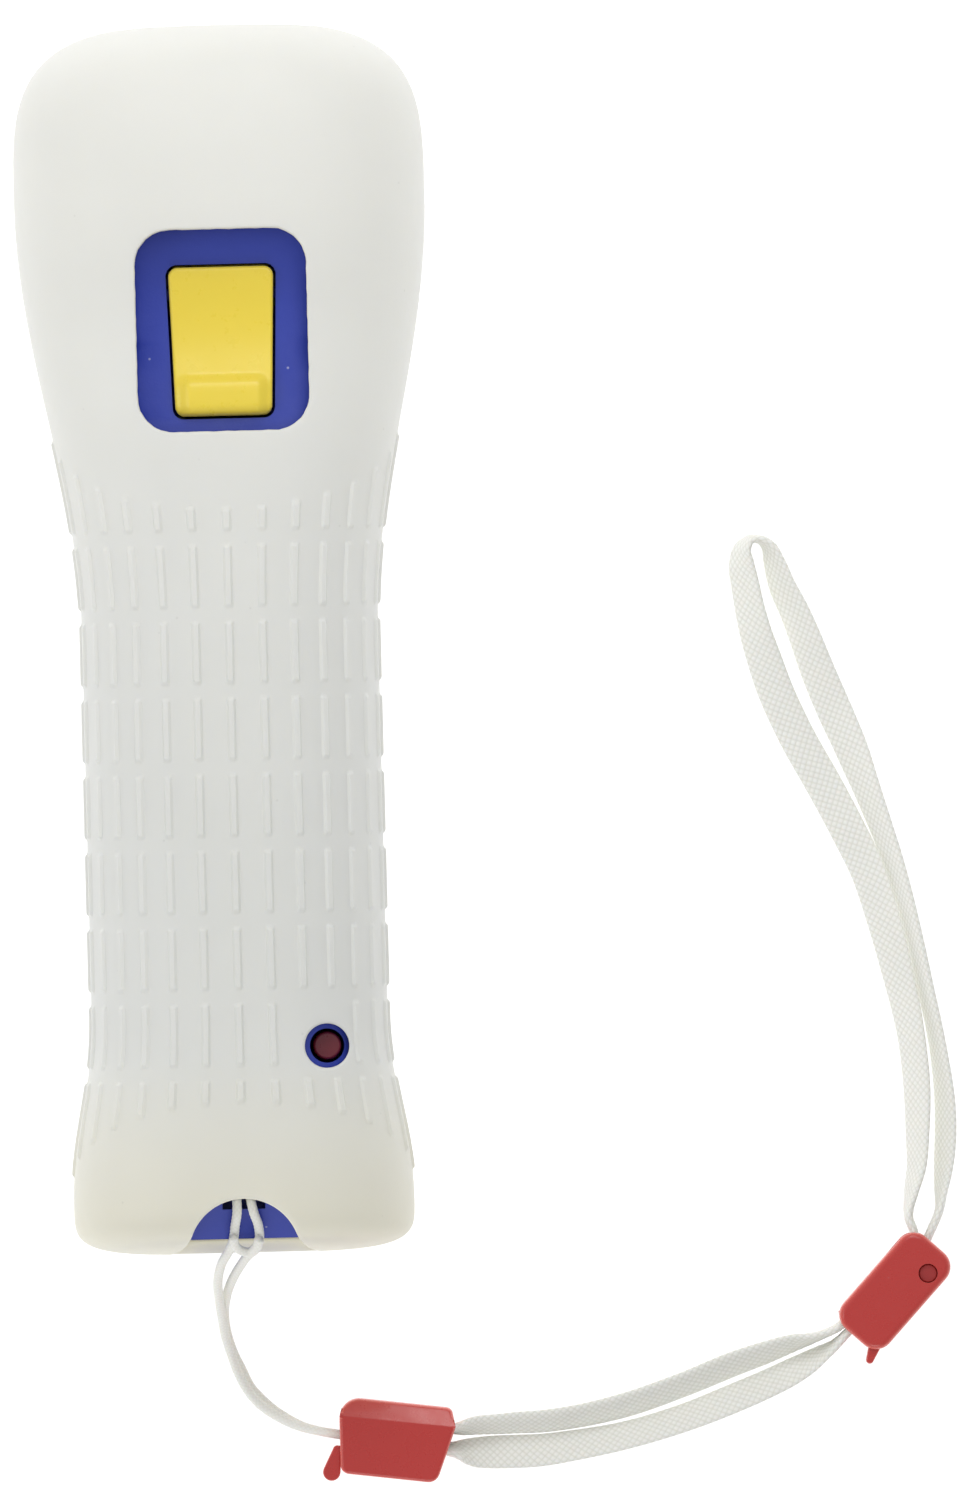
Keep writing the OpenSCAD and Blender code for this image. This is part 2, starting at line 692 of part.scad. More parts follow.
// Plan of a plain round button's place: X, Y and diameter
buttons = [[power_x, power_y, power_d], [0, main_y, main_d], [middle_x, middle_y, middle_d],
    [0, middle_y, middle_d], [-middle_x, middle_y, middle_d], [0, one_y, number_d], [0, two_y, number_d]];

module cross_plan(gap) {
    square([pad_span + 2 * gap, pad_arm + 2 * gap], center = true);
    square([pad_arm + 2 * gap, pad_span + 2 * gap], center = true);
}

module front_shell() color("whitesmoke") difference() {
    union() {
        difference() {
            body_block();
            body_hollow();
            box(-body_w, body_w, y_tail - cut, y_head + cut, z_part, z_back + cut);
        }
        screw_places() rod_z(z_face + shell_wall / 2, z_part, boss_r, 0, 0);
        for (x = [-post_x, post_x], y = post_ys) rod_z(z_face + shell_wall / 2, z_board, post_r, x, y);
    }
    for (b = buttons) rod_z(z_face - cut, z_in + cut, b[2] / 2 + button_fit, b[0], b[1]);
    translate([0, pad_y, z_face - cut]) linear_extrude(shell_wall + 2 * cut) cross_plan(pad_gap);
    for (i = [-2:2], j = [-1:1])
        rod_z(z_face - cut, z_in + cut, holes_d / 2, i * holes_pitch, speaker_y + j * holes_pitch);
    for (i = [-1.5:1.5]) translate([i * light_step, lights_y, z_face - cut])
        linear_extrude(shell_wall + 2 * cut)
            square([light_w + 2 * light_fit, light_len + 2 * light_fit], center = true);
    screw_places() rod_z(screw_seat_z - screw_depth - 2, z_part + cut, screw_d / 2 + pin_fit, 0, 0);
}

module trigger_plan(gap) {
    top = trigger_w / 2 + gap;
    low = top - trigger_taper / 2;
    polygon(round_outline([[-low, pivot_y - trigger_reach - gap], [low, pivot_y - trigger_reach - gap],
        [top, plate_end + gap], [-top, plate_end + gap]], trigger_r + gap));
}

module strap_slope() {
    steep = atan(slope_drop / slope_len);
    translate([-block_w / 2, y_tail + slope_len, z_back]) rotate([steep, 0, 0])
        translate([0, -3 * slope_len, 0]) cube([block_w, 3 * slope_len, slope_len]);
}

module rear_shell() color("royalblue") difference() {
    union() {
        difference() {
            body_block();
            body_hollow();
            box(-body_w, body_w, y_tail - cut, y_head + cut, z_face - cut, z_part);
            box(-body_w, body_w, cover_y0 - cover_gap, cover_y1 + cover_gap,
                cover_z - cover_gap, z_back + cut);
        }
        // floor of the battery bay and the bulkheads at its ends
        intersection() {
            along_y(cover_y0 - bulkhead_t, cover_y1 + bulkhead_t) body_section(-shell_wall / 2);
            union() {
                box(-body_w, body_w, cover_y0 - bulkhead_t, cover_y1 + bulkhead_t, tray_z - tray_t, tray_z);
                for (y = [cover_y0 - cover_gap - bulkhead_t, cover_y1 + cover_gap])
                    box(-body_w, body_w, y, y + bulkhead_t, tray_z - tray_t, z_roof + shell_wall / 2);
            }
        }
        // walls that carry the contacts and springs of the cells
        intersection() {
            along_y(cover_y0, cover_y1) body_section(-shell_wall - cover_gap);
            for (y = [bay_y0 - contact_t - rest_gap - bulkhead_t, bay_y1 + contact_t + rest_gap])
                box(-in_x, in_x, y, y + bulkhead_t, tray_z - tray_t / 2, cell_z);
        }
        // bed round the trigger, its hinge ears and the shelf below it
        intersection() {
            along_y(bed_y0, bed_y1) body_section(-shell_wall / 2);
            union() {
                box(-body_w, body_w, bed_y0, bed_y1, bed_z, z_back);
                box(-body_w, body_w, shelf_y0, shelf_y1, shelf_z - shelf_t, shelf_z);
            }
        }
        for (x = [-ear_x - ear_t, ear_x]) {
            rod_x(x, x + ear_t, ear_r, pivot_y, pivot_z);
            box(x, x + ear_t, pivot_y - ear_r, pivot_y + ear_r, pivot_z, bed_z + cut);
        }
        intersection() {
            along_y(y_tail, y_head) body_section(-shell_wall / 2);
            screw_places() rod_z(z_part, z_back, tube_r, 0, 0);
        }
        box(-block_w / 2 - block_side, block_w / 2 + block_side, y_tail + shell_wall / 2, y_tail + block_len,
            block_z, z_back - shell_wall / 2);
    }
    // seat and opening of the trigger
    rod_x(-body_w, body_w, seat_r, seat_y, z_back - seat_dip + seat_r);
    translate([0, 0, bed_z - cut]) linear_extrude(z_back - bed_z + 2 * cut) trigger_plan(trigger_gap);
    rod_x(-ear_x - ear_t - cut, ear_x + ear_t + cut, pivot_d / 2 + pin_fit, pivot_y, pivot_z);
    // holes for the screws, the cover's tabs and the sync button
    screw_places() {
        rod_z(z_part - cut, z_back, screw_d / 2 + pin_fit, 0, 0);
        rod_z(screw_seat_z, z_back + cut, screw_head_d / 2 + rest_gap, 0, 0);
    }
    for (x = [-tab_x, tab_x])
        box(x - tab_w / 2 - rest_gap, x + tab_w / 2 + rest_gap,
            cover_y1 - cut, cover_y1 + tab_len + 2 * rest_gap,
            z_roof - tab_t - 3 * rest_gap, z_roof - rest_gap);
    rod_z(tray_z - tray_t - cut, tray_z + cut, sync_d / 2 + pin_fit, sync_x, sync_y);
    // sensor window in the head end, accessory port in the tail end
    along_y(y_head - shell_wall - cut, y_head + cut)
        translate([0, sensor_z])
            square([sensor_w + 2 * sensor_fit, sensor_h + 2 * sensor_fit], center = true);
    along_y(y_tail - cut, y_tail + shell_wall + cut)
        translate([0, port_z]) square([port_w, port_h], center = true);
    // slope, slot and bar of the strap
    strap_slope();
    box(-slot_w / 2, slot_w / 2, slot_y0, slot_y1, slot_z, z_back + cut);
    rod_x(-bar_len / 2 - rest_gap, bar_len / 2 + rest_gap, bar_d / 2 + pin_fit, bar_y, bar_z);
}

module battery_cover() color("mediumblue") difference() {
    union() {
        difference() {
            along_y(cover_y0, cover_y1) body_section();
            along_y(cover_y0 - cut, cover_y1 + cut) body_section(-shell_wall);
            box(-body_w, body_w, cover_y0 - cut, cover_y1 + cut, z_face - cut, cover_z);
        }
        for (x = [-tab_x, tab_x])
            box(x - tab_w / 2, x + tab_w / 2, cover_y1 - tab_len, cover_y1 + tab_len,
                z_roof - tab_t - 2 * rest_gap, z_roof - 2 * rest_gap);
        for (x = [-tab_x, tab_x])
            box(x - tab_w / 2, x + tab_w / 2, cover_y1 - tab_len, cover_y1 - tab_len / 2,
                z_roof - tab_t, z_roof + shell_wall / 2);
    }
    rod_z(cover_z, z_back + cut, sync_d / 2 + sync_well, sync_x, sync_y);
}

// Trigger

module trigger_profile() intersection() {
    union() {
        difference() {
            union() {
                translate([pivot_y - trigger_reach, plate_top - plate_t])
                    square([trigger_reach + plate_end - pivot_y, plate_t]);
                intersection() {
                    translate([lip_y, lip_z]) circle(lip_r);
                    translate([lip_y - lip_r, plate_top - plate_t]) square(2 * lip_r);
                }
            }
            translate([scoop_y, scoop_z]) circle(scoop_r);
        }
        translate([plunger_y - plunger_w / 2, plunger_z])
            square([plunger_w, plate_top - plate_t - plunger_z + shell_wall / 2]);
    }
    translate([pivot_y, pivot_z]) circle(trigger_reach);
}

module trigger() color("gold") difference() {
    union() {
        intersection() {
            along_x(-trigger_w / 2, trigger_w / 2) trigger_profile();
            linear_extrude(z_back + 2 * lip_r) trigger_plan(0);
        }
        rod_x(-hinge_x, hinge_x, hinge_r, pivot_y, pivot_z);
    }
    rod_x(-hinge_x - cut, hinge_x + cut, pivot_d / 2 + pin_fit, pivot_y, pivot_z);
}

module trigger_pin() color("silver")
    rod_x(-ear_x - ear_t, ear_x + ear_t, pivot_d / 2, pivot_y, pivot_z);

module trigger_spring() color("silver")
    translate([0, spring_y, shelf_z + rest_gap + spring_wire / 2])
        skin(cord_rings(coil_points((spring_d - spring_wire) / 2,
            plate_top - plate_t - shelf_z - 2 * rest_gap - spring_wire, spring_turns),
            spring_wire, 6, [1, 0, 0]));

module trigger_switch() color("dimgray") {
    box(-switch_w / 2, switch_w / 2, plunger_y - switch_w / 2, plunger_y + switch_w / 2,
        shelf_z, switch_top - switch_cap);
    rod_z(switch_top - switch_cap, switch_top, switch_w / 4, 0, plunger_y);
}

module sync_button() color("firebrick") {
    rod_z(z_board_top + switch_h + sync_travel + rest_gap, sync_top, sync_d / 2, sync_x, sync_y);
    rod_z(tray_z - tray_t - rest_gap - flange_t, tray_z - tray_t - rest_gap,
        sync_d / 2 + flange_lap, sync_x, sync_y);
}

// Face buttons

module round_button(b) {
    rod_z(z_face - button_proud + cap_edge, z_in + rest_gap + flange_t / 2, b[2] / 2, b[0], b[1]);
    translate([b[0], b[1], z_face - button_proud])
        cylinder(r1 = b[2] / 2 - cap_edge, r2 = b[2] / 2, h = cap_edge);
    rod_z(z_in + rest_gap, z_in + rest_gap + flange_t, b[2] / 2 + flange_lap, b[0], b[1]);
}

module power_button() color("firebrick") round_button(buttons[0]);
module main_button() color("whitesmoke") round_button(buttons[1]);
module minus_button() color("whitesmoke") round_button(buttons[2]);
module home_button() color("lightsteelblue") round_button(buttons[3]);
module plus_button() color("whitesmoke") round_button(buttons[4]);
module one_button() color("whitesmoke") round_button(buttons[5]);
module two_button() color("whitesmoke") round_button(buttons[6]);

module direction_pad() color("whitesmoke") translate([0, pad_y, 0]) {
    translate([0, 0, z_face - button_proud])
        linear_extrude(pad_flange_z - z_face + button_proud) cross_plan(0);
    rod_z(pad_flange_z, pad_flange_z + pad_flange_t, pad_flange_r, 0, 0);
}

module pad_stem() color("dimgray")
    rod_z(pad_flange_z + pad_flange_t + rest_gap, z_board - 1.5 * rest_gap, stem_r, 0, pad_y);

module button_domes() color("dimgray") {
    for (b = buttons)
        translate([b[0], b[1], z_board - dome_h]) cylinder(r1 = b[2] * 0.3, r2 = b[2] * 0.45, h = dome_h);
    for (a = [0:90:270]) translate([pad_dome_at * cos(a), pad_y + pad_dome_at * sin(a), z_board - pad_dome_h])
        cylinder(r1 = stem_r, r2 = 1.4 * stem_r, h = pad_dome_h);
}

module light_guides() color("lightcyan") for (i = [-1.5:1.5]) translate([i * light_step, lights_y, z_face]) {
    linear_extrude(shell_wall + 2 * rest_gap) square([light_w, light_len], center = true);
    translate([0, 0, shell_wall + rest_gap])
        linear_extrude(flange_t) square([light_w + flange_lap, light_len + flange_lap], center = true);
}

// Inside the shells

module main_board() color("seagreen") {
    difference() {
        union() {
            box(-in_x + board_gap, in_x - board_gap, boss_ys[0], boss_ys[1], z_board, z_board_top);
            box(-boss_x + notch_r, boss_x - notch_r,
                y_tail + shell_wall + board_gap, y_head - shell_wall - board_gap, z_board, z_board_top);
        }
        screw_places() rod_z(z_board - cut, z_board_top + cut, notch_r, 0, 0);
    }
    for (chip = chips)
        box(chip[0] - chip[2] / 2, chip[0] + chip[2] / 2, chip[1] - chip[2] / 2, chip[1] + chip[2] / 2,
            z_board_top - board_t / 2, z_board_top + switch_h);
}

module sensor_window() color("black") {
    along_y(y_head - shell_wall - rest_gap, y_head - rest_gap)
        translate([0, sensor_z]) square([sensor_w, sensor_h], center = true);
    along_y(y_head - shell_wall - rest_gap - flange_t, y_head - shell_wall - rest_gap)
        translate([0, sensor_z])
            square([sensor_w + 2 * flange_lap, sensor_h + 2 * flange_lap], center = true);
}

module sensor_camera() color("darkslategray") {
    box(-camera_w / 2, camera_w / 2, y_head - camera_back, y_head - camera_front,
        z_board_top, sensor_z + camera_w / 2);
    rod_y(y_head - camera_front, y_head - shell_wall - 2 * flange_t, lens_r, 0, sensor_z);
}

module speaker() color("dimgray") difference() {
    rod_z(z_in + rest_gap, z_board - rest_gap, speaker_d / 2, 0, speaker_y);
    rod_z(z_in, z_in + flange_t, speaker_d / 2 - shell_wall, 0, speaker_y);
}

module rumble_motor() color("silver") difference() {
    rod_x(motor_x0, motor_x1, motor_d / 2, motor_y, motor_z);
    rod_x(motor_x0 + shell_wall, motor_x1 + cut, shaft_d / 2 + pin_fit, motor_y, motor_z);
}

module motor_mount() color("dimgray") difference() {
    box(motor_x0 + mount_wall, motor_x0 + mount_wall + mount_len, motor_y - motor_d / 2 - mount_wall,
        motor_y + motor_d / 2 + mount_wall, z_board_top, motor_z - mount_wall);
    rod_x(motor_x0, motor_x1, motor_d / 2 + pin_fit, motor_y, motor_z);
}

module rumble_weight() color("goldenrod") {
    x0 = motor_x1 + weight_gap;
    rod_x(motor_x0 + shell_wall + rest_gap, x0 + weight_t, shaft_d / 2, motor_y, motor_z);
    difference() {
        rod_x(x0, x0 + weight_t, weight_r, motor_y, motor_z);
        box(x0 - cut, x0 + weight_t + cut, motor_y - weight_r - cut, motor_y + weight_r + cut,
            motor_z + shaft_d / 4, motor_z + weight_r + cut);
    }
}

// The two cells lie side by side, head to tail
module each_cell() {
    translate([-cell_x, bay_y0, cell_z]) children();
    translate([cell_x, bay_y1, cell_z]) rotate([0, 0, 180]) children();
}

module battery_cells() color("darkorange") each_cell() {
    rod_y(bay_spring_len + rest_gap, bay_spring_len + rest_gap + cell_len, cell_d / 2, 0, 0);
    rod_y(bay_spring_len + cell_len, bay_len - rest_gap, nub_d / 2, 0, 0);
}

module battery_springs() color("silver") each_cell() rotate([-90, 0, 0]) translate([0, 0, bay_wire / 2])
    skin(cord_rings(
        coil_points((bay_spring_d - bay_wire) / 2, bay_spring_len - bay_wire, bay_spring_turns),
        bay_wire, 6, [1, 0, 0]));

module battery_contacts() color("gainsboro") each_cell()
    for (y = [-contact_t - rest_gap / 2, bay_len + rest_gap / 2])
        box(-contact_w / 2, contact_w / 2, y, y + contact_t, -cell_d / 2 + rest_gap, contact_w / 2);

module accessory_port() color("gray") {
    outer_w = port_w + 2 * port_wall;
    outer_h = port_h + 2 * port_wall;
    y0 = y_tail + shell_wall + rest_gap;
    difference() {
        box(-outer_w / 2, outer_w / 2, y0, y0 + port_len, z_board_top, port_z + outer_h / 2);
        box(-port_w / 2, port_w / 2, y0 - cut, y0 + port_depth, port_z - port_h / 2, port_z + port_h / 2);
    }
    translate([0, 0, port_z + port_h / 2 - tongue_gap - tongue_t])
        box(-port_w / 2 + 2 * port_wall, port_w / 2 - 2 * port_wall,
            y0 + port_wall, y0 + port_depth + cut, 0, tongue_t);
}

module case_screws() color("slategray") screw_places() {
    rod_z(screw_seat_z - screw_depth - 1, screw_seat_z, screw_d / 2, 0, 0);
    rod_z(screw_seat_z, screw_seat_z + screw_head_h, screw_head_d / 2, 0, 0);
}

module strap_bar() color("silver") rod_x(-bar_len / 2, bar_len / 2, bar_d / 2, bar_y, bar_z);

// Cord, clip, lace and lock

module cord(route) color("ivory") skin(cord_rings(route, cord_d, 8, [1, 0, 0]));
module cord_left() cord(cord_left_route);
module cord_right() cord(cord_right_route);
module cord_hitch() cord(cord_hitch_route);
module lace() color("ivory") skin(flat_rings(lace_route, lace_w, lace_t));

module at_clip() translate([clip_at[0], clip_at[1], 0]) rotate([0, 0, clip_turn]) children();
module at_lock() translate([lock_at[0], lock_at[1], 0]) rotate([0, 0, lock_turn]) children();

// Two plates over a plan, joined by a wall along one side, with a hole for the pin at the other
module lock_channel(length, open_y, lane_y, pin, pin_d, hole) difference() {
    linear_extrude(lock_h) children();
    box(-length, length, open_y - cut, lane_y, lock_plate, lock_h - lock_plate);
    rod_z(hole[0], hole[1], pin_d / 2 + pin_fit, pin[0], pin[1]);
}

// A cam lever that swings on the pin between the plates, with a thumb tab past its elbow
module lock_arm(pin, pin_d, hub_r, elbow, elbow_r, tip, tip_r) {
    z0 = lock_plate + lever_gap;
    difference() {
        translate([0, 0, z0]) linear_extrude(lock_h - 2 * z0) {
            translate(pin) circle(hub_r);
            hull() {
                translate(pin) circle(elbow_r, $fn = small_fn);
                translate(elbow) circle(elbow_r, $fn = small_fn);
            }
            hull() {
                translate(elbow) circle(elbow_r, $fn = small_fn);
                translate(tip) circle(tip_r, $fn = small_fn);
            }
        }
        rod_z(0, lock_h, pin_d / 2 + pin_fit, pin[0], pin[1]);
    }
}

// Outline of the clip: its ends draw in towards the open side, and the corner over the cord is well rounded
module clip_plan() hull() {
    translate([-clip_len / 2 + clip_r, clip_wall_y - clip_r]) circle(clip_r);
    translate([-clip_len / 2 + clip_slant / 2 + clip_low_r, clip_open_y + clip_low_r])
        circle(clip_low_r, $fn = small_fn);
    translate([clip_len / 2 - clip_slant - clip_sharp_r, clip_open_y + clip_sharp_r])
        circle(clip_sharp_r, $fn = small_fn);
    translate([clip_len / 2 - clip_sharp_r, clip_wall_y / 2]) circle(clip_sharp_r, $fn = small_fn);
    translate([clip_len / 2 - 2 * clip_sharp_r, clip_wall_y - clip_sharp_r]) circle(clip_sharp_r, $fn = small_fn);
}

// The clip has a web between its plates, which the cord ends on from one side and the lace from the other
module clip_case() color("crimson") at_clip() difference() {
    union() {
        lock_channel(clip_len, clip_open_y, clip_lane_y, clip_pin_at, clip_pin_d,
            [-cut, lock_h - lock_plate / 2]) clip_plan();
        box(clip_web_x[0], clip_web_x[1], clip_web_y, clip_lane_y + lock_plate / 2,
            lock_plate / 2, lock_h - lock_plate / 2);
    }
    translate([-clip_len, clip_wall_y - clip_bevel_w, lock_h])
        rotate([-atan(clip_bevel_h / clip_bevel_w), 0, 0]) cube([2 * clip_len, 2 * clip_bevel_w, lock_h]);
}
module clip_pin() color("crimson") at_clip()
    rod_z(pin_sink, lock_h - lock_plate / 2, clip_pin_d / 2, clip_pin_at[0], clip_pin_at[1]);
module clip_lever() color("firebrick") at_clip()
    lock_arm(clip_pin_at, clip_pin_d, clip_hub_r, clip_elbow, clip_elbow_r, clip_tip, clip_tip_r);

module lock_case() color("crimson") at_lock() difference() {
    lock_channel(lock_len, lock_open_y, lock_lane_y, lock_pin_at, lock_pin_d, [lock_plate / 2, lock_h + cut])
        translate([0, (lock_open_y + lock_wall_y) / 2])
            round_rect(lock_len, lock_wall_y - lock_open_y, lock_r);
    box(lock_wall_end, lock_len, lock_lane_y - cut, lock_wall_y + cut, lock_plate, lock_h - lock_plate);
}
module lock_pin() color("crimson") at_lock()
    rod_z(lock_plate / 2, lock_h - pin_sink, lock_pin_d / 2, lock_pin_at[0], lock_pin_at[1]);
module lock_lever() color("firebrick") at_lock()
    lock_arm(lock_pin_at, lock_pin_d, lock_hub_r, lock_elbow, lock_elbow_r, lock_tip, lock_tip_r);

grip_jacket();
front_shell();
rear_shell();
battery_cover();
trigger();
trigger_pin();
trigger_spring();
trigger_switch();
sync_button();
power_button();
direction_pad();
pad_stem();
main_button();
minus_button();
home_button();
plus_button();
one_button();
two_button();
button_domes();
light_guides();
main_board();
sensor_window();
sensor_camera();
speaker();
rumble_motor();
motor_mount();
rumble_weight();
battery_cells();
battery_springs();
battery_contacts();
accessory_port();
case_screws();
strap_bar();
cord_left();
cord_right();
cord_hitch();
clip_case();
clip_pin();
clip_lever();
lace();
lock_case();
lock_pin();
lock_lever();
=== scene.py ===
import math

import bpy
import numpy as np
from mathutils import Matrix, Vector


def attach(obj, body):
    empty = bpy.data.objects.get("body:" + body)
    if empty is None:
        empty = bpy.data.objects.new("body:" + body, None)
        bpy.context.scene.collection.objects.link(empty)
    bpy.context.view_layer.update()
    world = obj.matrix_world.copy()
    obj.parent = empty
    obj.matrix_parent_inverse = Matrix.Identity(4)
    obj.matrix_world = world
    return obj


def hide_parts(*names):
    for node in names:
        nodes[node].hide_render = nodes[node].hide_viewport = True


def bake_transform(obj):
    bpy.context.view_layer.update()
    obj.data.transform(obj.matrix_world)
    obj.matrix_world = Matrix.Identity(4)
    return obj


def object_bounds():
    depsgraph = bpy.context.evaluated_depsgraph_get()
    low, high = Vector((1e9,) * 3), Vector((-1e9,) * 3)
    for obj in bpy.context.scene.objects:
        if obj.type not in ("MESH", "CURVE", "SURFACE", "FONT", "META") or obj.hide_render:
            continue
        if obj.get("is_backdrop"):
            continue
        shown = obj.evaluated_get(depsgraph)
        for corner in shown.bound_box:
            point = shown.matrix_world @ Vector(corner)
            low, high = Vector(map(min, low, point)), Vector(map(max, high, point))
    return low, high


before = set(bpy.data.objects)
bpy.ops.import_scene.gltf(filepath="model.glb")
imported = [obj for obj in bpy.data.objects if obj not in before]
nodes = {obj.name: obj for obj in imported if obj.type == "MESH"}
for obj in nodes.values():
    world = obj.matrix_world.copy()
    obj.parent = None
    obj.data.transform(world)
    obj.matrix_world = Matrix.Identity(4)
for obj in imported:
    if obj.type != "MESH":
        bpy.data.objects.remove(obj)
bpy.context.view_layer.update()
scene = bpy.context.scene
mm = 0.001

# Photographer's table. The camera hangs straight above the wand, so far off that its lines stay
# parallel; four soft boxes stand round the wand, the room is pale all round, and the table glows white.
camera_place = (0.0328, -0.0154, 6.0)
camera_lean = -0.025
film_side = 36
focal_pixels = 45674
picture_pixels = 1500
bpy.ops.object.camera_add(location=camera_place, rotation=(0, 0, camera_lean))
scene.camera = bpy.context.active_object
scene.camera.data.sensor_width = film_side
scene.camera.data.lens = film_side * focal_pixels / picture_pixels
scene.view_settings.view_transform = "Standard"


def add_node(tree, kind, inputs=None, **settings):
    """A shader node with its settings, and its inputs linked or set."""
    made = tree.nodes.new("ShaderNode" + kind)
    for key, value in settings.items():
        setattr(made, key, value)
    for socket, value in (inputs or {}).items():
        if isinstance(value, bpy.types.NodeSocket):
            tree.links.new(value, made.inputs[socket])
        else:
            made.inputs[socket].default_value = value
    return made


def ranged(tree, value, start, end, low=0, high=1):
    """A value taken from one range to another, and kept inside it."""
    made = add_node(tree, "MapRange", {
        "Value": value, "From Min": start, "From Max": end, "To Min": low, "To Max": high})
    return made.outputs[0]


# the air of the room: light all round, more of it from the left and the head
bright_side = (-0.8, 0.5, 0.3)
least_air, most_air = 0.33, 0.68
scene.world = bpy.data.worlds.new("studio")
scene.world.use_nodes = True
tree = scene.world.node_tree
studio_air = tree.nodes["Background"].inputs
studio_air["Color"].default_value = (1, 1, 1, 1)
towards = add_node(tree, "TexCoord").outputs["Generated"]
lean = add_node(tree, "VectorMath", {0: towards, 1: bright_side}, operation="DOT_PRODUCT")
tree.links.new(ranged(tree, lean.outputs["Value"], -1, 1, least_air, most_air), studio_air["Strength"])


def soft_box(name, place, side, power):
    """A square soft light aimed at the wand."""
    bpy.ops.object.light_add(type="AREA", location=place)
    box = bpy.context.active_object
    box.name = name
    box.rotation_euler = (-Vector(place)).to_track_quat("-Z", "Y").to_euler()
    box.data.size = side
    box.data.energy = power
    box.visible_camera = False


soft_box("soft_box_key", (0.08, 0.18, 0.3), 0.25, 0.3)
soft_box("soft_box_head", (0.03, 0.55, 0.45), 0.2, 0.4)
soft_box("soft_box_tail", (0.03, -0.6, 0.35), 0.3, 0.6)
soft_box("soft_box_left", (-0.5, -0.05, 0.5), 0.3, 0.42)


def new_finish(name, constants):
    """A new material, with the values that are the same all over set on its shader."""
    finish = bpy.data.materials.new(name)
    finish.use_nodes = True
    shader = finish.node_tree.nodes["Principled BSDF"]
    for socket, value in constants.items():
        shader.inputs[socket].default_value = value
    return finish, finish.node_tree, shader


def light_of(red, green, blue):
    """A colour read from a screen, as the light that a shader works with."""
    shares = [c / 255 for c in (red, green, blue)]
    return (*[c / 12.92 if c <= 0.04045 else ((c + 0.055) / 1.055) ** 2.4 for c in shares], 1)


def blended(tree, share, first, second, **settings):
    """Two colours mixed, with a share of the second."""
    made = add_node(tree, "Mix", {0: share, 6: first, 7: second}, data_type="RGBA", **settings)
    return made.outputs[2]


table_side, table_drop = 6, 0.3
table_finish, tree, shader = new_finish("table_white", {
    "Roughness": 0.9, "Specular IOR Level": 0.1, "Emission Color": (1, 1, 1, 1), "Emission Strength": 0.95})
table_place = add_node(tree, "TexCoord").outputs["Object"]
table_cloud = add_node(tree, "TexNoise", {"Vector": table_place, "Scale": 3, "Detail": 2})
table_tone = blended(tree, table_cloud.outputs["Fac"], (0.3, 0.3, 0.3, 1), (0.33, 0.33, 0.32, 1))
tree.links.new(table_tone, shader.inputs["Base Color"])
bpy.ops.mesh.primitive_plane_add(size=table_side, location=(0, 0, -table_drop * mm))
table = bpy.context.active_object
table.name = "table"
table.data.materials.append(table_finish)
table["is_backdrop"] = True

# Front shell. The white lower half of the controller's case, injection moulded in a hard gloss
# plastic, with its bosses for the screws; the face with the buttons is turned to the table.
def effect(name, inputs, outputs):
    """An empty shader node group with its sockets."""
    group = bpy.data.node_groups.new(name, "ShaderNodeTree")
    for way, sockets in (("INPUT", inputs), ("OUTPUT", outputs)):
        for socket, kind in sockets.items():
            group.interface.new_socket(socket, in_out=way, socket_type="NodeSocket" + kind)
    return group, group.nodes.new("NodeGroupInput").outputs, group.nodes.new("NodeGroupOutput").inputs


def maths(tree, operation, first, second=None, **settings):
    """The result of an operation on one value or two."""
    inputs = {0: first} if second is None else {0: first, 1: second}
    return add_node(tree, "Math", inputs, operation=operation, **settings).outputs[0]


# Grain that a spark-worn mould leaves on a surface
moulding_grain, given, told = effect(
    "moulding_grain", {"Place": "Vector", "Scale": "Float"}, {"Height": "Float"})
grain = add_node(moulding_grain, "TexNoise", {
    "Vector": given["Place"], "Scale": given["Scale"], "Detail": 3, "Roughness": 0.6})
moulding_grain.links.new(grain.outputs["Fac"], told["Height"])

# Handling: clouds of shade, fine scuffs in the gloss, and specks of lint here and there
handling, given, told = effect(
    "handling",
    {"Place": "Vector", "Colour": "Color", "Lint": "Color"}
    | dict.fromkeys(("Clouds", "Specks", "Gloss"), "Float"),
    {"Colour": "Color", "Roughness": "Float"})
clouds = add_node(handling, "TexNoise", {"Vector": given["Place"], "Scale": 55, "Detail": 3})
cloud_shade = ranged(handling, clouds.outputs["Fac"], 0.3, 0.7, 0, given["Clouds"])
dark = blended(handling, 1, given["Colour"], (0.55, 0.55, 0.55, 1), blend_type="MULTIPLY")
toned = blended(handling, cloud_shade, given["Colour"], dark)
lint_cells = add_node(handling, "TexVoronoi", {"Vector": given["Place"], "Scale": 330})
lint_size = ranged(handling, lint_cells.outputs["Distance"], 0.03, 0.07, 1, 0)
lint_pick = add_node(handling, "SeparateColor", {0: lint_cells.outputs["Color"]})
lint_some = maths(handling, "GREATER_THAN", lint_pick.outputs[0], 0.72)
lint_here = maths(handling, "MULTIPLY", lint_size, lint_some)
lint_mask = maths(handling, "MULTIPLY", lint_here, given["Specks"])
handling.links.new(blended(handling, lint_mask, toned, given["Lint"]), told["Colour"])
scuffs = add_node(handling, "TexNoise", {
    "Vector": given["Place"], "Scale": 420, "Detail": 4, "Roughness": 0.7})
scuff_gloss = ranged(handling, scuffs.outputs["Fac"], 0.3, 0.7, -0.07, 0.1)
gloss = maths(handling, "ADD", given["Gloss"], scuff_gloss, use_clamp=True)
handling.links.new(gloss, told["Roughness"])


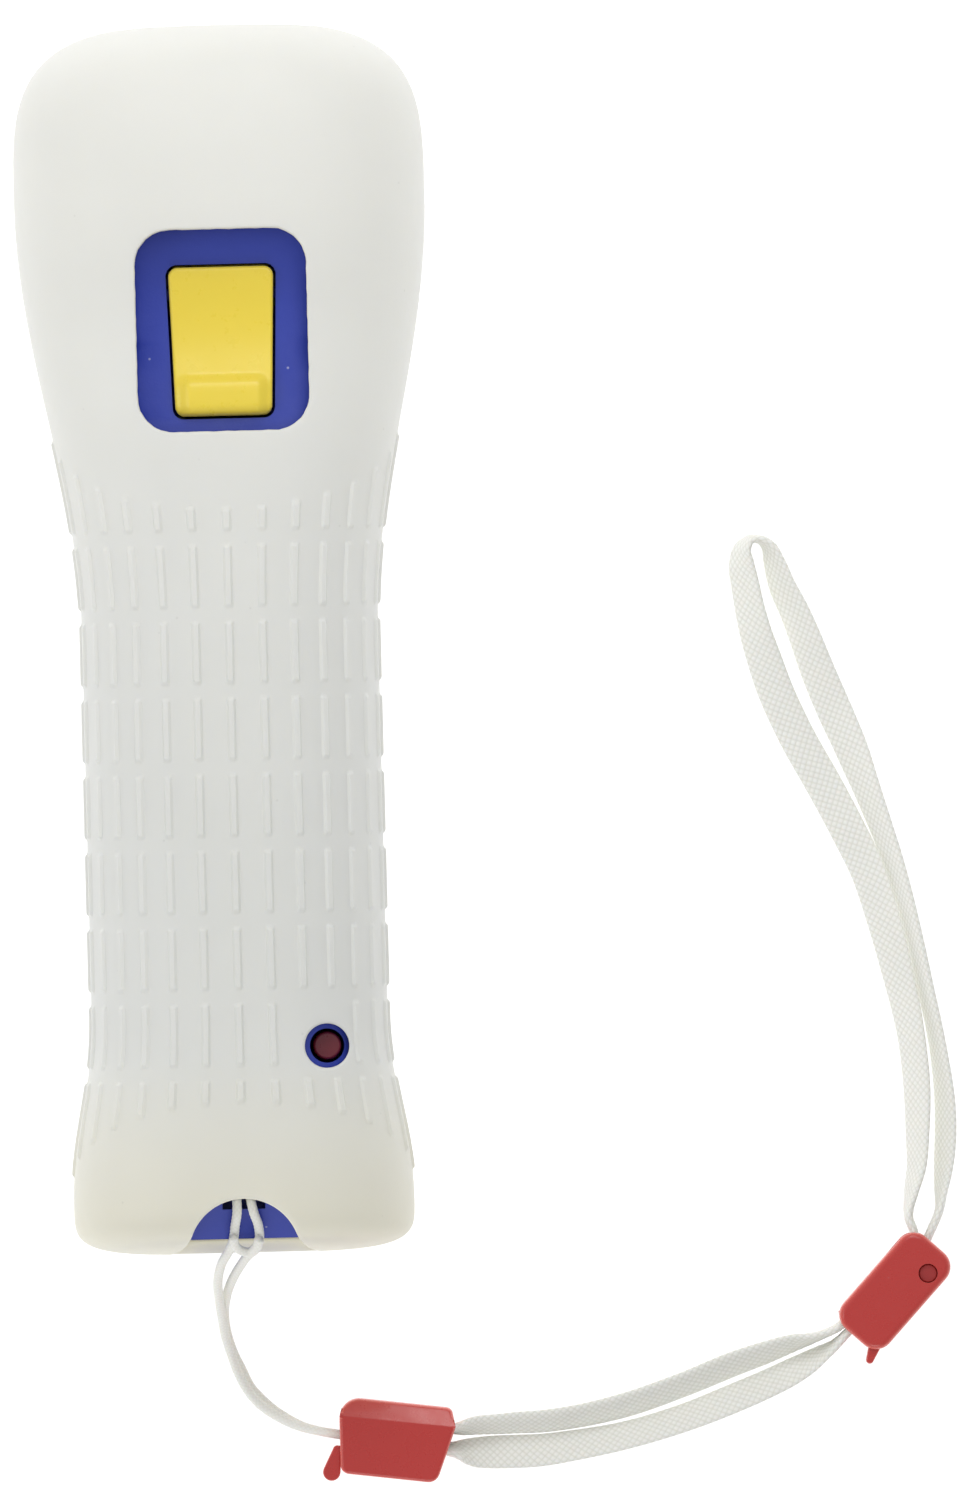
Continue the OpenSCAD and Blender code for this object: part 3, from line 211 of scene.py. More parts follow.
def wear(tree, shader, place, colour, lint, clouds, specks, gloss):
    """Gives a finish its colour and gloss as worn by handling, and returns that colour."""
    worn = add_node(tree, "Group", {
        "Place": place, "Colour": colour, "Lint": lint, "Clouds": clouds, "Specks": specks, "Gloss": gloss,
    }, node_tree=handling)
    tree.links.new(worn.outputs["Colour"], shader.inputs["Base Color"])
    tree.links.new(worn.outputs["Roughness"], shader.inputs["Roughness"])
    return worn.outputs["Colour"]


def raise_skin(tree, shader, height, depth, strength=1):
    """Raises a finish's skin by a height, to a depth in millimetres."""
    bump = add_node(tree, "Bump", {"Height": height, "Strength": strength, "Distance": depth * mm})
    tree.links.new(bump.outputs["Normal"], shader.inputs["Normal"])


def grained(tree, place, scale):
    """Height of a mould's grain."""
    skin = add_node(tree, "Group", {"Place": place, "Scale": scale}, node_tree=moulding_grain)
    return skin.outputs["Height"]


def moulded(name, colour, gloss, lint=(0.75, 0.75, 0.75, 1), clouds=0.1, specks=0.35, grain=1500,
            depth=0.012, rim=None, **constants):
    """A moulded material: its colour clouded and specked, with a painted rim light that pales it where its
    surface turns away from view, its gloss scuffed, its skin grained."""
    finish, tree, shader = new_finish(name, {k.replace("_", " "): v for k, v in constants.items()})
    place = add_node(tree, "TexCoord").outputs["Object"]
    worn = wear(tree, shader, place, colour, lint, clouds, specks, gloss)
    # painted rim light: the colour is paled towards the rim colour where the surface turns from view,
    # standing in for light that comes through the edges
    if rim:
        rim_light_facing = add_node(tree, "LayerWeight", {"Blend": 0.5})
        turned = ranged(tree, rim_light_facing.outputs["Facing"], 0.03, 0.6, 0, 0.65)
        tree.links.new(blended(tree, turned, worn, rim), shader.inputs["Base Color"])
    raise_skin(tree, shader, grained(tree, place, grain), depth)
    return finish


def coat(piece, finish):
    """Gives a piece one finish all over."""
    piece.data.materials.clear()
    piece.data.materials.append(finish)


def dress(finish, *names):
    """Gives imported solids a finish."""
    for name in names:
        coat(nodes[name], finish)


def editing(on):
    """Goes into the active piece's mesh, or comes out of it."""
    bpy.ops.object.mode_set(mode="EDIT" if on else "OBJECT")


def mark(all_of_it):
    """Selects all of the mesh that is being edited, or none of it."""
    bpy.ops.mesh.select_all(action="SELECT" if all_of_it else "DESELECT")


def pick(piece):
    """Makes a piece the only one picked, and the active one."""
    bpy.ops.object.select_all(action="DESELECT")
    piece.select_set(True)
    bpy.context.view_layer.objects.active = piece


def copied(name):
    """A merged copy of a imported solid."""
    piece = nodes[name].copy()
    piece.data = nodes[name].data.copy()
    piece.name = name + "_rounded"
    piece.parent = None
    for key in list(piece.keys()):
        del piece[key]
    scene.collection.objects.link(piece)
    pick(piece)
    editing(True)
    mark(True)
    bpy.ops.mesh.customdata_custom_splitnormals_clear()
    bpy.ops.mesh.remove_doubles(threshold=2e-6)
    bpy.ops.mesh.dissolve_limited(angle_limit=math.radians(0.5))
    mark(False)
    editing(False)
    return piece


def finish_piece(piece, body, slot, finish, *replaced):
    """Gives a new piece its finish, its body and the solids that it stands for."""
    coat(piece, finish)
    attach(piece, body)
    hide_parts(*replaced)


def round_over(piece, width, segments=3, angle=32):
    """Rounds over a piece's sharp edges, and shades it smooth between them."""
    rounding = piece.modifiers.new("rounding", "BEVEL")
    rounding.width = width * mm
    rounding.segments = segments
    rounding.limit_method = "ANGLE"
    rounding.angle_limit = math.radians(angle)
    rounding.use_clamp_overlap = True
    bpy.ops.object.modifier_apply(modifier="rounding")
    bpy.ops.object.shade_smooth_by_angle(angle=math.radians(40))
    flattened = piece.modifiers.new("flattened", "WEIGHTED_NORMAL")
    flattened.keep_sharp = True
    bpy.ops.object.modifier_apply(modifier="flattened")


def round_rim(piece, width, wanted, segments=5):
    """Rounds over those sharp edges of a piece whose two ends are both wanted."""
    editing(True)
    bpy.ops.mesh.select_mode(type="EDGE")
    mark(False)
    bpy.ops.mesh.edges_select_sharp(sharpness=math.radians(50))
    editing(False)
    for edge in piece.data.edges:
        ends = [np.array(piece.data.vertices[i].co) / mm for i in edge.vertices]
        edge.select = bool(edge.select and wanted(*ends[0]) and wanted(*ends[1]))
    editing(True)
    bpy.ops.mesh.bevel(offset=width * mm, segments=segments, affect="EDGES", clamp_overlap=False)
    mark(False)
    editing(False)


def softened(name, body, slot, finish, width, **rounding):
    """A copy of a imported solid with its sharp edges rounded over, that stands for it."""
    piece = copied(name)
    round_over(piece, width, **rounding)
    finish_piece(piece, body, slot, finish, name)
    return piece


front_white = moulded(
    "front_white", light_of(236, 236, 234), 0.22, lint=(0.3, 0.3, 0.3, 1), clouds=0.05, specks=0.15,
    Coat_Weight=0.15)
softened("front_shell", "controller", "front_plastic", front_white, 0.3)

# Face buttons, pad and lights. Each cap is a separate moulding that drops into the front shell from
# inside; the caps are white or milky blue, the power cap is red, and the light guides are clear.
cap_white = moulded("cap_white", light_of(238, 238, 236), 0.15, clouds=0.04, specks=0.1, Coat_Weight=0.3)
cap_blue = moulded("cap_blue", light_of(176, 196, 220), 0.15, clouds=0.05, specks=0.1, Coat_Weight=0.3)
cap_red = moulded("cap_red", light_of(132, 38, 52), 0.3, clouds=0.12, specks=0.2, Coat_Weight=0.2)
guide_clear = moulded(
    "guide_clear", light_of(214, 232, 240), 0.12, clouds=0.05, specks=0.1, Transmission_Weight=0.6)
for name in ("main_button", "minus_button", "plus_button", "one_button", "two_button", "direction_pad"):
    softened(name, name, "white_button", cap_white, 0.35)
softened("home_button", "home_button", "blue_button", cap_blue, 0.35)
softened("power_button", "power_button", "red_button", cap_red, 0.35)
dress(guide_clear, "light_guides")

# Works of the controller. A green board carries rubber domes under the buttons, the sensor camera
# behind its dark window, a small speaker and the motor whose brass weight makes the wand rumble.
rubber_dark = moulded("rubber_dark", light_of(52, 52, 56), 0.75, clouds=0.3, depth=0.03)
board_green = moulded(
    "board_green", light_of(34, 104, 66), 0.4, lint=(0.75, 0.68, 0.45, 1), clouds=0.35, specks=0.6,
    Coat_Weight=0.4)
window_dark = moulded("window_dark", light_of(30, 20, 24), 0.08, clouds=0.1, specks=0.1, Coat_Weight=0.5)
plastic_black = moulded("plastic_black", light_of(40, 40, 43), 0.5, clouds=0.2)
steel = moulded(
    "steel", light_of(196, 196, 200), 0.3, lint=(0.35, 0.33, 0.3, 1), clouds=0.3, grain=2600, Metallic=1)
brass = moulded("brass", light_of(206, 172, 96), 0.35, lint=(0.3, 0.2, 0.1, 1), clouds=0.3, Metallic=1)
cell_sleeve = moulded("cell_sleeve", light_of(206, 152, 60), 0.2, clouds=0.15, Coat_Weight=0.5)
dress(rubber_dark, "pad_stem", "button_domes", "motor_mount")
dress(board_green, "main_board")
dress(window_dark, "sensor_window")
dress(plastic_black, "sensor_camera", "speaker", "accessory_port", "trigger_switch", "trigger_pin")
dress(steel, "rumble_motor", "battery_springs", "battery_contacts", "case_screws", "strap_bar")
dress(brass, "rumble_weight")
dress(cell_sleeve, "battery_cells")

# Rear shell and battery cover. The blue upper half of the case, moulded in a matt plastic with a
# fine grain; the cover over the cells is a piece of its own, with the hole for the sync button.
shell_blue = moulded(
    "shell_blue", light_of(44, 64, 174), 0.42, lint=(0.6, 0.62, 0.75, 1), clouds=0.12, specks=0.5,
    grain=2600, depth=0.02)
for name in ("rear_shell", "battery_cover"):
    softened(name, "controller", "back_plastic", shell_blue, 0.2)

# Sync button. A small red cap, deep in its hole so that it is pressed only with a fingertip; it is
# moulded in the same red plastic as the power cap.
softened("sync_button", "sync_button", "red_button", cap_red, 0.45, segments=4)

# Trigger. A yellow finger lever moulded with a scoop and a raised bar at its tip; it hangs on a dark
# pin through a hub at its upper end, and its edges and corners are well rounded.
trigger_end = 29.1
trigger_top = 48.6
tip_half, half_w = 6.3, 6.9
trigger_corner = 1.3
trigger_edge = 0.45
plate_z = 32.2
plate_under = 28.6
end_round = 1.6
scoop_y, scoop_r, scoop_depth, scoop_fillet = 40.2, 24, 0.9, 0.5
bar_far, bar_past, bar_inset = 35.0, 1.4, 0.1
bar_corner, bar_swell, bar_rise = 2.0, 2.0, 0.9
pivot_y, pivot_z = 46.9, 27.4
hub_r, hub_half, hub_edge = 2.1, 6.4, 0.3


def ease(t):
    """A smooth step from 0 to 1."""
    t = np.clip(t, 0, 1)
    return t * t * (3 - 2 * t)


def soft_max(a, b, fillet):
    """The greater of two heights, with the valley between them filled to a radius."""
    return np.maximum(a, b) + np.maximum(fillet - np.abs(a - b), 0) ** 2 / (4 * fillet)


def grid_piece(name, columns, rows):
    """A flat grid, with each vertex's column and row."""
    bpy.ops.object.select_all(action="DESELECT")
    bpy.ops.mesh.primitive_grid_add(x_subdivisions=columns, y_subdivisions=rows, size=2)
    piece = bpy.context.active_object
    piece.name = name
    flat = np.zeros(len(piece.data.vertices) * 3)
    piece.data.vertices.foreach_get("co", flat)
    flat = flat.reshape(-1, 3)
    column = np.rint((flat[:, 0] + 1) / 2 * columns).astype(int)
    row = np.rint((flat[:, 1] + 1) / 2 * rows).astype(int)
    return piece, column, row


def place_vertices(piece, points):
    """Moves a piece's vertices to points given in millimetres."""
    piece.data.vertices.foreach_set("co", (np.asarray(points) * mm).ravel())
    piece.data.update()


trigger_columns, trigger_rows = 84, 128
trigger, column, row = grid_piece("trigger_lever", trigger_columns, trigger_rows)
u = np.sin((column / trigger_columns - 0.5) * math.pi)
v = np.sin((row / trigger_rows - 0.5) * math.pi)
length = trigger_top - trigger_end
inside_x = half_w * (1 - np.abs(u))
inside_y = length / 2 * (1 - np.abs(v))
corner_x = np.clip(1 - inside_x / trigger_corner, 0, 1)
corner_y = np.clip(1 - inside_y / trigger_corner, 0, 1)
round_x = corner_x * np.sqrt(1 - corner_y ** 2 / 2)
round_y = corner_y * np.sqrt(1 - corner_x ** 2 / 2)
in_corner = (corner_x > 0) & (corner_y > 0)
x = np.where(in_corner, np.sign(u) * (half_w - trigger_corner * (1 - round_x)), u * half_w)
y = np.where(in_corner, np.sign(v) * (length / 2 - trigger_corner * (1 - round_y)), v * length / 2)
edge = np.where(in_corner, trigger_corner * (1 - np.hypot(round_x, round_y)), np.minimum(inside_x, inside_y))
y = y + (trigger_end + trigger_top) / 2
half_here = tip_half + (half_w - tip_half) * (y - trigger_end) / length
x = x / half_w * half_here
scoop = plate_z + scoop_r - scoop_depth - np.sqrt(np.maximum(scoop_r ** 2 - (y - scoop_y) ** 2, 0.01))
plate = -soft_max(-plate_z, -scoop, scoop_fillet)
in_side = half_here - bar_inset - np.abs(x)
in_end = np.minimum(bar_far - y, y - trigger_end + bar_past)
past_side = np.maximum(bar_corner - in_side, 0)
past_end = np.maximum(bar_corner - in_end, 0)
at_corner = (past_side > 0) & (past_end > 0)
in_bar = np.where(at_corner, bar_corner - np.hypot(past_side, past_end), np.minimum(in_side, in_end))
z = plate + bar_rise * ease(in_bar / bar_swell)
rounding = np.clip(1 - edge / trigger_edge, 0, 1)
z = z - trigger_edge * (1 - np.sqrt(1 - rounding ** 2))
# the end is rounder still, so that it clears the shell when the trigger is pulled
rounding = np.clip(1 - (y - trigger_end) / end_round, 0, 1)
z = z - end_round * (1 - np.sqrt(1 - rounding ** 2))
place_vertices(trigger, np.stack([x, y, z], 1))
editing(True)
mark(False)
bpy.ops.mesh.select_mode(type="EDGE")
bpy.ops.mesh.select_non_manifold()
bpy.ops.mesh.extrude_region_move(TRANSFORM_OT_translate={"value": (0, 0, -1 * mm)})
bpy.ops.transform.resize(value=(1, 1, 0), center_override=(0, 0, plate_under * mm))
bpy.ops.mesh.edge_face_add()
mark(True)
bpy.ops.mesh.normals_make_consistent(inside=False)
mark(False)
bpy.ops.mesh.primitive_cylinder_add(
    vertices=40, radius=hub_r * mm, depth=2 * hub_half * mm, location=(0, pivot_y * mm, pivot_z * mm),
    rotation=(0, math.pi / 2, 0))
bpy.ops.mesh.bevel(offset=hub_edge * mm, segments=2, affect="EDGES")
editing(False)
bpy.ops.object.shade_smooth_by_angle(angle=math.radians(50))
trigger_yellow = moulded(
    "trigger_yellow", light_of(247, 221, 74), 0.3, lint=(0.6, 0.5, 0.2, 1), clouds=0.06, specks=0.12,
    grain=1900, depth=0.008, Coat_Weight=0.12, Coat_Roughness=0.2, Subsurface_Weight=0.08,
    Subsurface_Radius=(0.0015, 0.0011, 0.0004))
finish_piece(trigger, "trigger", "trigger_plastic", trigger_yellow, "trigger")
# the coil under it stands on a shelf; in the wand its top end goes down with the trigger, but this copy is
# left as it stands
spring = copied("trigger_spring")
bpy.ops.object.shade_smooth()
coat(spring, steel)
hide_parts("trigger_spring")
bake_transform(spring)

# Thin cord. Two strands of a fine braided cord leave the bar in the tail, side by side; a hitch of the
# same cord draws them together, and they run on to the clip.
cord_d = 1.25
left_route = [
    (-0.9, -71.4, 29.3), (-0.9, -73.2, 31.5), (-0.9, -74.8, 31.4), (-1.2, -76.7, 29.7), (-1.5, -78.6, 27.8),
    (-2.1, -80, 26), (-3.1, -81.7, 23.4), (-3.7, -84, 19.9), (-3.6, -86.6, 15.9), (-3.3, -89, 12.2),
    (-2.9, -91.7, 8.6), (-2.2, -94.1, 6), (-1.5, -96.2, 4.4), (-0.3, -98.6, 3.3), (1.1, -100.4, 2.9),
    (2.6, -101.6, 2.8), (4.4, -102.7, 3.1), (6.8, -103.7, 3.7), (8.8, -104.2, 4.2), (11.3, -104.7, 4.4),
    (17.9, -105.55, 4.4)]
right_route = [
    (0.9, -71.4, 29.3), (0.9, -73.2, 31.5), (1.2, -74.8, 31.4), (1.8, -76.7, 29.7), (1.9, -78.6, 27.8),
    (1.4, -79.9, 26.2), (0.4, -80.7, 24.7), (-0.7, -82.1, 22.2), (-1.9, -84.1, 18.5), (-2.7, -86.3, 14.2),
    (-3, -89, 9.6), (-2.6, -91.7, 6), (-1.8, -94.1, 3.6), (-0.9, -96, 2.3), (0.2, -98.3, 1.6),
    (1.6, -99.9, 1.4), (3, -101.2, 1.4), (4.7, -102.4, 1.6), (6.9, -103.6, 2.2), (8.8, -104.2, 2.8),
    (11.3, -104.7, 3), (17.9, -105.55, 3)]
hitch_route = [
    (-1.45, -78.2, 30), (-1.35, -79.2, 29.1), (-0.6, -80, 27.9), (0.4, -80.3, 27.5), (1.4, -79.7, 28.4),
    (1.9, -78.5, 29.8)]


def run_along(points):
    """How far each point lies along a path."""
    return np.concatenate([[0], np.cumsum(np.linalg.norm(np.diff(points[:, :3], axis=0), axis=1))])


def smooth_route(points, step):
    """Points an even step apart along a smooth curve through the given ones, and its length."""
    p = np.array(points, float)
    t = run_along(p)
    slope = np.diff(p, axis=0) / np.diff(t)[:, None]
    way = np.empty_like(p)
    before, after = np.diff(t)[:-1, None], np.diff(t)[1:, None]
    way[1:-1] = (slope[:-1] * after + slope[1:] * before) / (before + after)
    way[0], way[-1] = slope[0], slope[-1]
    fine = []
    for i in range(len(p) - 1):
        h = t[i + 1] - t[i]
        s = np.linspace(0, 1, 24, endpoint=False)[:, None]
        fine.append((2 * s ** 3 - 3 * s ** 2 + 1) * p[i] + (s ** 3 - 2 * s ** 2 + s) * h * way[i]
                    + (3 * s ** 2 - 2 * s ** 3) * p[i + 1] + (s ** 3 - s ** 2) * h * way[i + 1])
    fine = np.vstack([*fine, p[-1:]])
    run = run_along(fine)
    count = max(2, round(run[-1] / step) + 1)
    at = np.linspace(0, run[-1], count)
    return np.stack([np.interp(at, run, fine[:, k]) for k in range(p.shape[1])], 1), run[-1]


def headings(path):
    """The direction of a path at each of its points."""
    way = np.gradient(path[:, :3], axis=0)
    return way / np.linalg.norm(way, axis=1, keepdims=True)


def wrapped(name, rings, around, along):
    """A closed tube wrapped from a grid, through rings in millimetres; its UV map counts stitches."""
    rows, columns = len(rings) - 1, rings.shape[1]
    piece, column, row = grid_piece(name, columns, rows)
    place_vertices(piece, rings[row, column % columns])
    corner = np.zeros(len(piece.data.loops), int)
    piece.data.loops.foreach_get("vertex_index", corner)
    stitch = np.stack([column[corner] / columns * around, row[corner] / rows * along], 1)
    piece.data.uv_layers.active.data.foreach_set("uv", stitch.ravel())
    editing(True)
    mark(True)
    bpy.ops.mesh.remove_doubles(threshold=1e-6)
    bpy.ops.mesh.fill_holes(sides=0)
    bpy.ops.mesh.normals_make_consistent(inside=False)
    editing(False)
    return piece


def diamonds(around, along):
    """Height of a braid's stitches, which lie in diamonds."""
    return np.sqrt(np.abs(np.sin(math.pi * (around + along)) * np.sin(math.pi * (around - along))))


def round_cord(name, route, stitches, relief):
    """A round braided cord along a route, and the route in metres with its length."""
    stitch = math.pi * cord_d / stitches
    path, length = smooth_route(route, stitch / 4)
    way = headings(path)
    side = np.zeros_like(way)
    side[0] = (1, 0, 0)
    for i in range(len(way)):
        s = side[max(i - 1, 0)]
        s = s - s @ way[i] * way[i]
        side[i] = s / np.linalg.norm(s)
    up = np.cross(way, side)
    turn = np.arange(4 * stitches) / (4 * stitches)
    along = np.linspace(0, length, len(path)) / stitch
    radius = cord_d / 2 - relief * (1 - diamonds(turn[None] * stitches, along[:, None]))
    angle = 2 * math.pi * turn
    ring = np.cos(angle)[None, :, None] * side[:, None] + np.sin(angle)[None, :, None] * up[:, None]
    piece = wrapped(name, path[:, None] + radius[..., None] * ring, stitches, length / stitch)
    bpy.ops.object.shade_smooth()
    return piece, path * mm, length * mm


# Braid: the stitches lie in diamonds, and the threads of each run one way or the other
braid, given, told = effect(
    "braid", {"Stitch": "Vector", "Light": "Color", "Painted Crevice Shade": "Color"}, {"Colour": "Color", "Height": "Float"})
counted = add_node(braid, "SeparateXYZ", {0: given["Stitch"]}).outputs
lanes = [maths(braid, operation, counted[0], counted[1]) for operation in ("ADD", "SUBTRACT")]
threads_a_stitch, thread_rise = 10, 0.15


def lane_waves(count):
    """A wave along each of the two ways that the threads run, so many times a stitch."""
    return [maths(braid, "SINE", maths(braid, "MULTIPLY", lane, count * math.pi)) for lane in lanes]


crossing = maths(braid, "MULTIPLY", *lane_waves(1))
crown = maths(braid, "POWER", maths(braid, "ABSOLUTE", crossing), 0.5)
over = maths(braid, "GREATER_THAN", crossing, 0)
rising, falling = lane_waves(threads_a_stitch)
thread = add_node(braid, "Mix", {0: over, 2: rising, 3: falling}, data_type="FLOAT").outputs[0]
height = maths(braid, "ADD", crown, ranged(braid, thread, -1, 1, -thread_rise, thread_rise))
braid.links.new(height, told["Height"])
# painted shade: the yarn goes from its light colour on the crowns to the shade colour down in the crevices
yarn_with_painted_shade = blended(braid, height, given["Painted Crevice Shade"], given["Light"], clamp_factor=True)
braid.links.new(yarn_with_painted_shade, told["Colour"])


def braided(name, light, crevice_painted_shade, depth):
    """A braided finish that follows the stitches counted in a piece's UV map, with painted shade in the
    crevices between the stitches.
    """
    finish, tree, shader = new_finish(name, {
        "Sheen Weight": 0.15, "Sheen Roughness": 0.4, "Specular IOR Level": 0.3, "Subsurface Weight": 0.2,
        "Subsurface Radius": (0.0012, 0.001, 0.0008)})
    stitches = add_node(tree, "UVMap").outputs[0]
    yarns = add_node(tree, "Group", {"Stitch": stitches, "Light": light, "Painted Crevice Shade": crevice_painted_shade}, node_tree=braid)
    place = add_node(tree, "TexCoord").outputs["Object"]
    wear(tree, shader, place, yarns.outputs["Colour"], (0.5, 0.47, 0.4, 1), 0.06, 0.1, 0.7)
    raise_skin(tree, shader, yarns.outputs["Height"], depth, strength=0.7)
    return finish


# each braid has its light colour and a darker colour for the painted shade in its crevices
cord_ivory = braided("cord_ivory", light_of(255, 255, 249), light_of(246, 246, 237), 0.03)
cord_weave = {"stitches": 6, "relief": 0.04}
cord_left, left_path, left_length = round_cord("cord_left_strand", left_route, **cord_weave)
cord_right, right_path, right_length = round_cord("cord_right_strand", right_route, **cord_weave)
hitch = round_cord("cord_hitch_loop", hitch_route, **cord_weave)[0]
for piece, node in ((cord_left, "cord_left"), (cord_right, "cord_right"), (hitch, "cord_hitch")):
    finish_piece(piece, "controller", "cord_fabric", cord_ivory, node)

# Clip. A red case that joins the thin cord to the lace: a moulded box with a sloping band along its
# upper edge, closed by a lever that turns on a pin.
# the red parts get a paler red as a painted rim light where their surfaces turn from view
clip_red = moulded(
    "clip_red", light_of(196, 58, 54), 0.28, lint=(0.75, 0.5, 0.48, 1), clouds=0.1, specks=0.2, grain=1200,
    depth=0.008, rim=light_of(244, 128, 116), Coat_Weight=0.15, Subsurface_Weight=0.06,
    Subsurface_Radius=(0.0015, 0.0004, 0.0003))
clip_place, clip_turn = np.array((19, -105.7)), math.radians(-7.4)
clip_height, band_y, band_facet = 7.4, 2.6, 0.9
clip_case = copied("clip_case")
# two corners at the end for the lace, each drawn from a small circle out to a rounder one
band_slope = 1.3 / 2.4
clip_corners = (((5.45, -4.4), 0.6, (4.735, -3.5), 1.5), ((6.45, 4.4), 0.6, (6.194, 4.05), 0.95))
cosine, sine = math.cos(clip_turn), math.sin(clip_turn)
clip_axes = np.array(((cosine, sine), (-sine, cosine)))
near = 0.02
for point in clip_case.data.vertices:
    flat = clip_axes @ (np.array(point.co[:2]) / mm - clip_place)
    for old_centre, old_r, new_centre, new_r in clip_corners:
        arm = flat - old_centre
        if abs(np.hypot(*arm) - old_r) < near:
            moved = new_centre + arm / old_r * new_r
            on_band = abs(point.co.z / mm - clip_height + band_slope * (flat[1] - band_y)) < 0.03
            if on_band and flat[1] > band_y:
                point.co.z = (clip_height - band_slope * (moved[1] - band_y)) * mm
            point.co.xy = (clip_place + moved @ clip_axes) * mm
for edge_of_band in clip_case.data.edges:
    ends = np.array([clip_case.data.vertices[i].co for i in edge_of_band.vertices]) / mm
    across = (ends[:, :2] - clip_place) @ clip_axes[1]
    on_crease = (np.abs(across - band_y) < near) & (ends[:, 2] > clip_height - near)
    edge_of_band.select = bool(on_crease.all())
editing(True)
bpy.ops.mesh.select_mode(type="EDGE")
bpy.ops.mesh.bevel(offset=band_facet * mm, segments=1, affect="EDGES")
editing(False)
clip_rim, band_low = 0.5, 5.9
round_rim(clip_case, clip_rim, lambda x, y, z: z > band_low)
round_over(clip_case, 0.2)
finish_piece(clip_case, "controller", "red_plastic", clip_red, "clip_case")
clip_lever = softened("clip_lever", "clip_lever", "red_plastic", clip_red, 0.3)
# painted shade: the pins are a darker red than the cases, for the shade down in their recesses
pin_red_painted_shade = moulded("pin_red_painted_shade", light_of(168, 48, 47), 0.45, lint=(0.7, 0.45, 0.42, 1), clouds=0.15, specks=0.2)
clip_pin = softened("clip_pin", "controller", "red_plastic", pin_red_painted_shade, 0.15)

# Lace. A flat, hollow braid of soft cream yarn, which runs from the clip through the lock, round the
# wrist loop and back; it stands on its edge in the clip and the lock, and lies over outside them.
lace_w = 4.8
lace_t = 1.2
lace_stitches = 11
lace_relief = 0.15
lace_edge_power, lace_face_power = 0.62, 0.8
outline_steps = 720
lace_route = [
    (20.25, -103.6, 3.7, 90), (25.6, -104.3, 3.7, 90), (26.9, -104.3, 3.4, 80), (28.3, -104.15, 3, 68),
    (29.8, -104, 2.7, 63), (31.5, -103.95, 2.6, 61), (35, -103.8, 2.4, 57), (38.3, -103.7, 2.4, 55),
    (42, -103.3, 2.3, 54), (49.4, -101.8, 2.3, 50),
    (56.8, -99.4, 2.3, 50), (64.2, -96.6, 2.3, 50), (67.9, -95.4, 2.4, 55), (71.6, -94.2, 2.5, 66),
    (74.8, -93.4, 3.1, 84), (77.6, -92.2, 3.7, 90), (79.9, -89.8, 3.7, 90), (87.4, -81.6, 3.7, 90),
    (87.7, -80.3, 3.7, 90), (87.1, -78.2, 3.4, 92), (87.5, -75, 2.7, 106), (88.3, -71.3, 2.5, 118),
    (88.5, -67.4, 2.3, 126), (88.6, -61.6, 2.2, 134), (88.1, -55, 2.2, 136), (86.2, -45, 1.8, 148),
    (84.6, -38.4, 1.5, 157), (82.8, -32.4, 1.3, 164), (80.4, -27.1, 1.1, 170), (77.4, -21.1, 0.8, 176),
    (73.9, -14.5, 0.8, 176), (71.3, -8.5, 1, 172), (69.9, -4.2, 1.4, 162), (68.9, -0.8, 1.8, 150),
    (68.2, 2.4, 2, 142), (67.7, 5.4, 2.1, 138), (67.3, 8.4, 2.3, 130), (67.6, 10.4, 2.5, 112),
    (68.6, 11.4, 2.5, 96), (69.8, 11.3, 2.5, 86), (70.9, 10.3, 2.5, 72), (71.6, 8.3, 2.4, 58),
    (72.5, 5.3, 2.2, 46), (74.1, 1.7, 2, 38), (75.5, -2, 1.8, 30), (76.9, -6, 1.4, 20),
    (78.7, -10.6, 1.2, 14), (80.9, -15.9, 1.6, 24), (82.8, -21.2, 2.1, 42), (84.5, -26.1, 2.3, 52),
    (86.2, -31.2, 2.4, 60), (87.8, -37.1, 2.5, 66), (89.1, -43.1, 2.5, 68), (90.1, -48.4, 2.5, 68),
    (91, -53, 2.5, 68), (91.7, -57.6, 2.5, 66), (92.2, -63, 2.5, 60), (92.2, -67, 2.4, 58),
    (91.9, -71, 2.6, 62), (91.5, -74.4, 3, 74), (91.1, -77.3, 3.6, 88), (90, -79.8, 3.7, 90),
    (89, -81.8, 3.7, 90), (80.9, -90.7, 3.7, 90), (78.6, -93.1, 3.7, 90), (76.8, -94.8, 3.1, 80),
    (74.6, -96.2, 2.5, 62), (71.5, -97.9, 2.2, 47), (67.8, -99.6, 2.1, 42), (64.1, -101.1, 2.1, 40),
    (56.7, -103.8, 2.1, 43), (49.3, -105.8, 2.1, 43), (41.9, -107.05, 1.9, 35), (38.2, -107.5, 1.7, 29),
    (34.5, -107.6, 1.65, 26), (31, -107.6, 1.75, 30), (28.8, -107.6, 2.15, 42), (27.2, -107.5, 2.8, 62),
    (26, -107.3, 3.5, 82), (24.9, -107.1, 3.7, 90), (19.9, -106.4, 3.7, 90)]
edge_turn = np.arange(outline_steps) / outline_steps * 2 * math.pi
edge_x = lace_w / 2 * np.sign(np.cos(edge_turn)) * np.abs(np.cos(edge_turn)) ** lace_edge_power
edge_z = lace_t / 2 * np.sign(np.sin(edge_turn)) * np.abs(np.sin(edge_turn)) ** lace_face_power
edge_run = np.concatenate([[0], np.cumsum(np.hypot(np.diff(edge_x), np.diff(edge_z)))])
lace_girth = edge_run[-1] + math.hypot(edge_x[0] - edge_x[-1], edge_z[0] - edge_z[-1])
lace_points = 4 * lace_stitches
edge_at = np.arange(lace_points) / lace_points * lace_girth
edge_x = np.interp(edge_at, edge_run, edge_x)
edge_z = np.interp(edge_at, edge_run, edge_z)
lace_stitch = lace_girth / lace_stitches
lace_path, lace_length = smooth_route(lace_route, lace_stitch / 4)
way = headings(lace_path)
level = np.cross((0, 0, 1), way)
level /= np.linalg.norm(level, axis=1, keepdims=True)
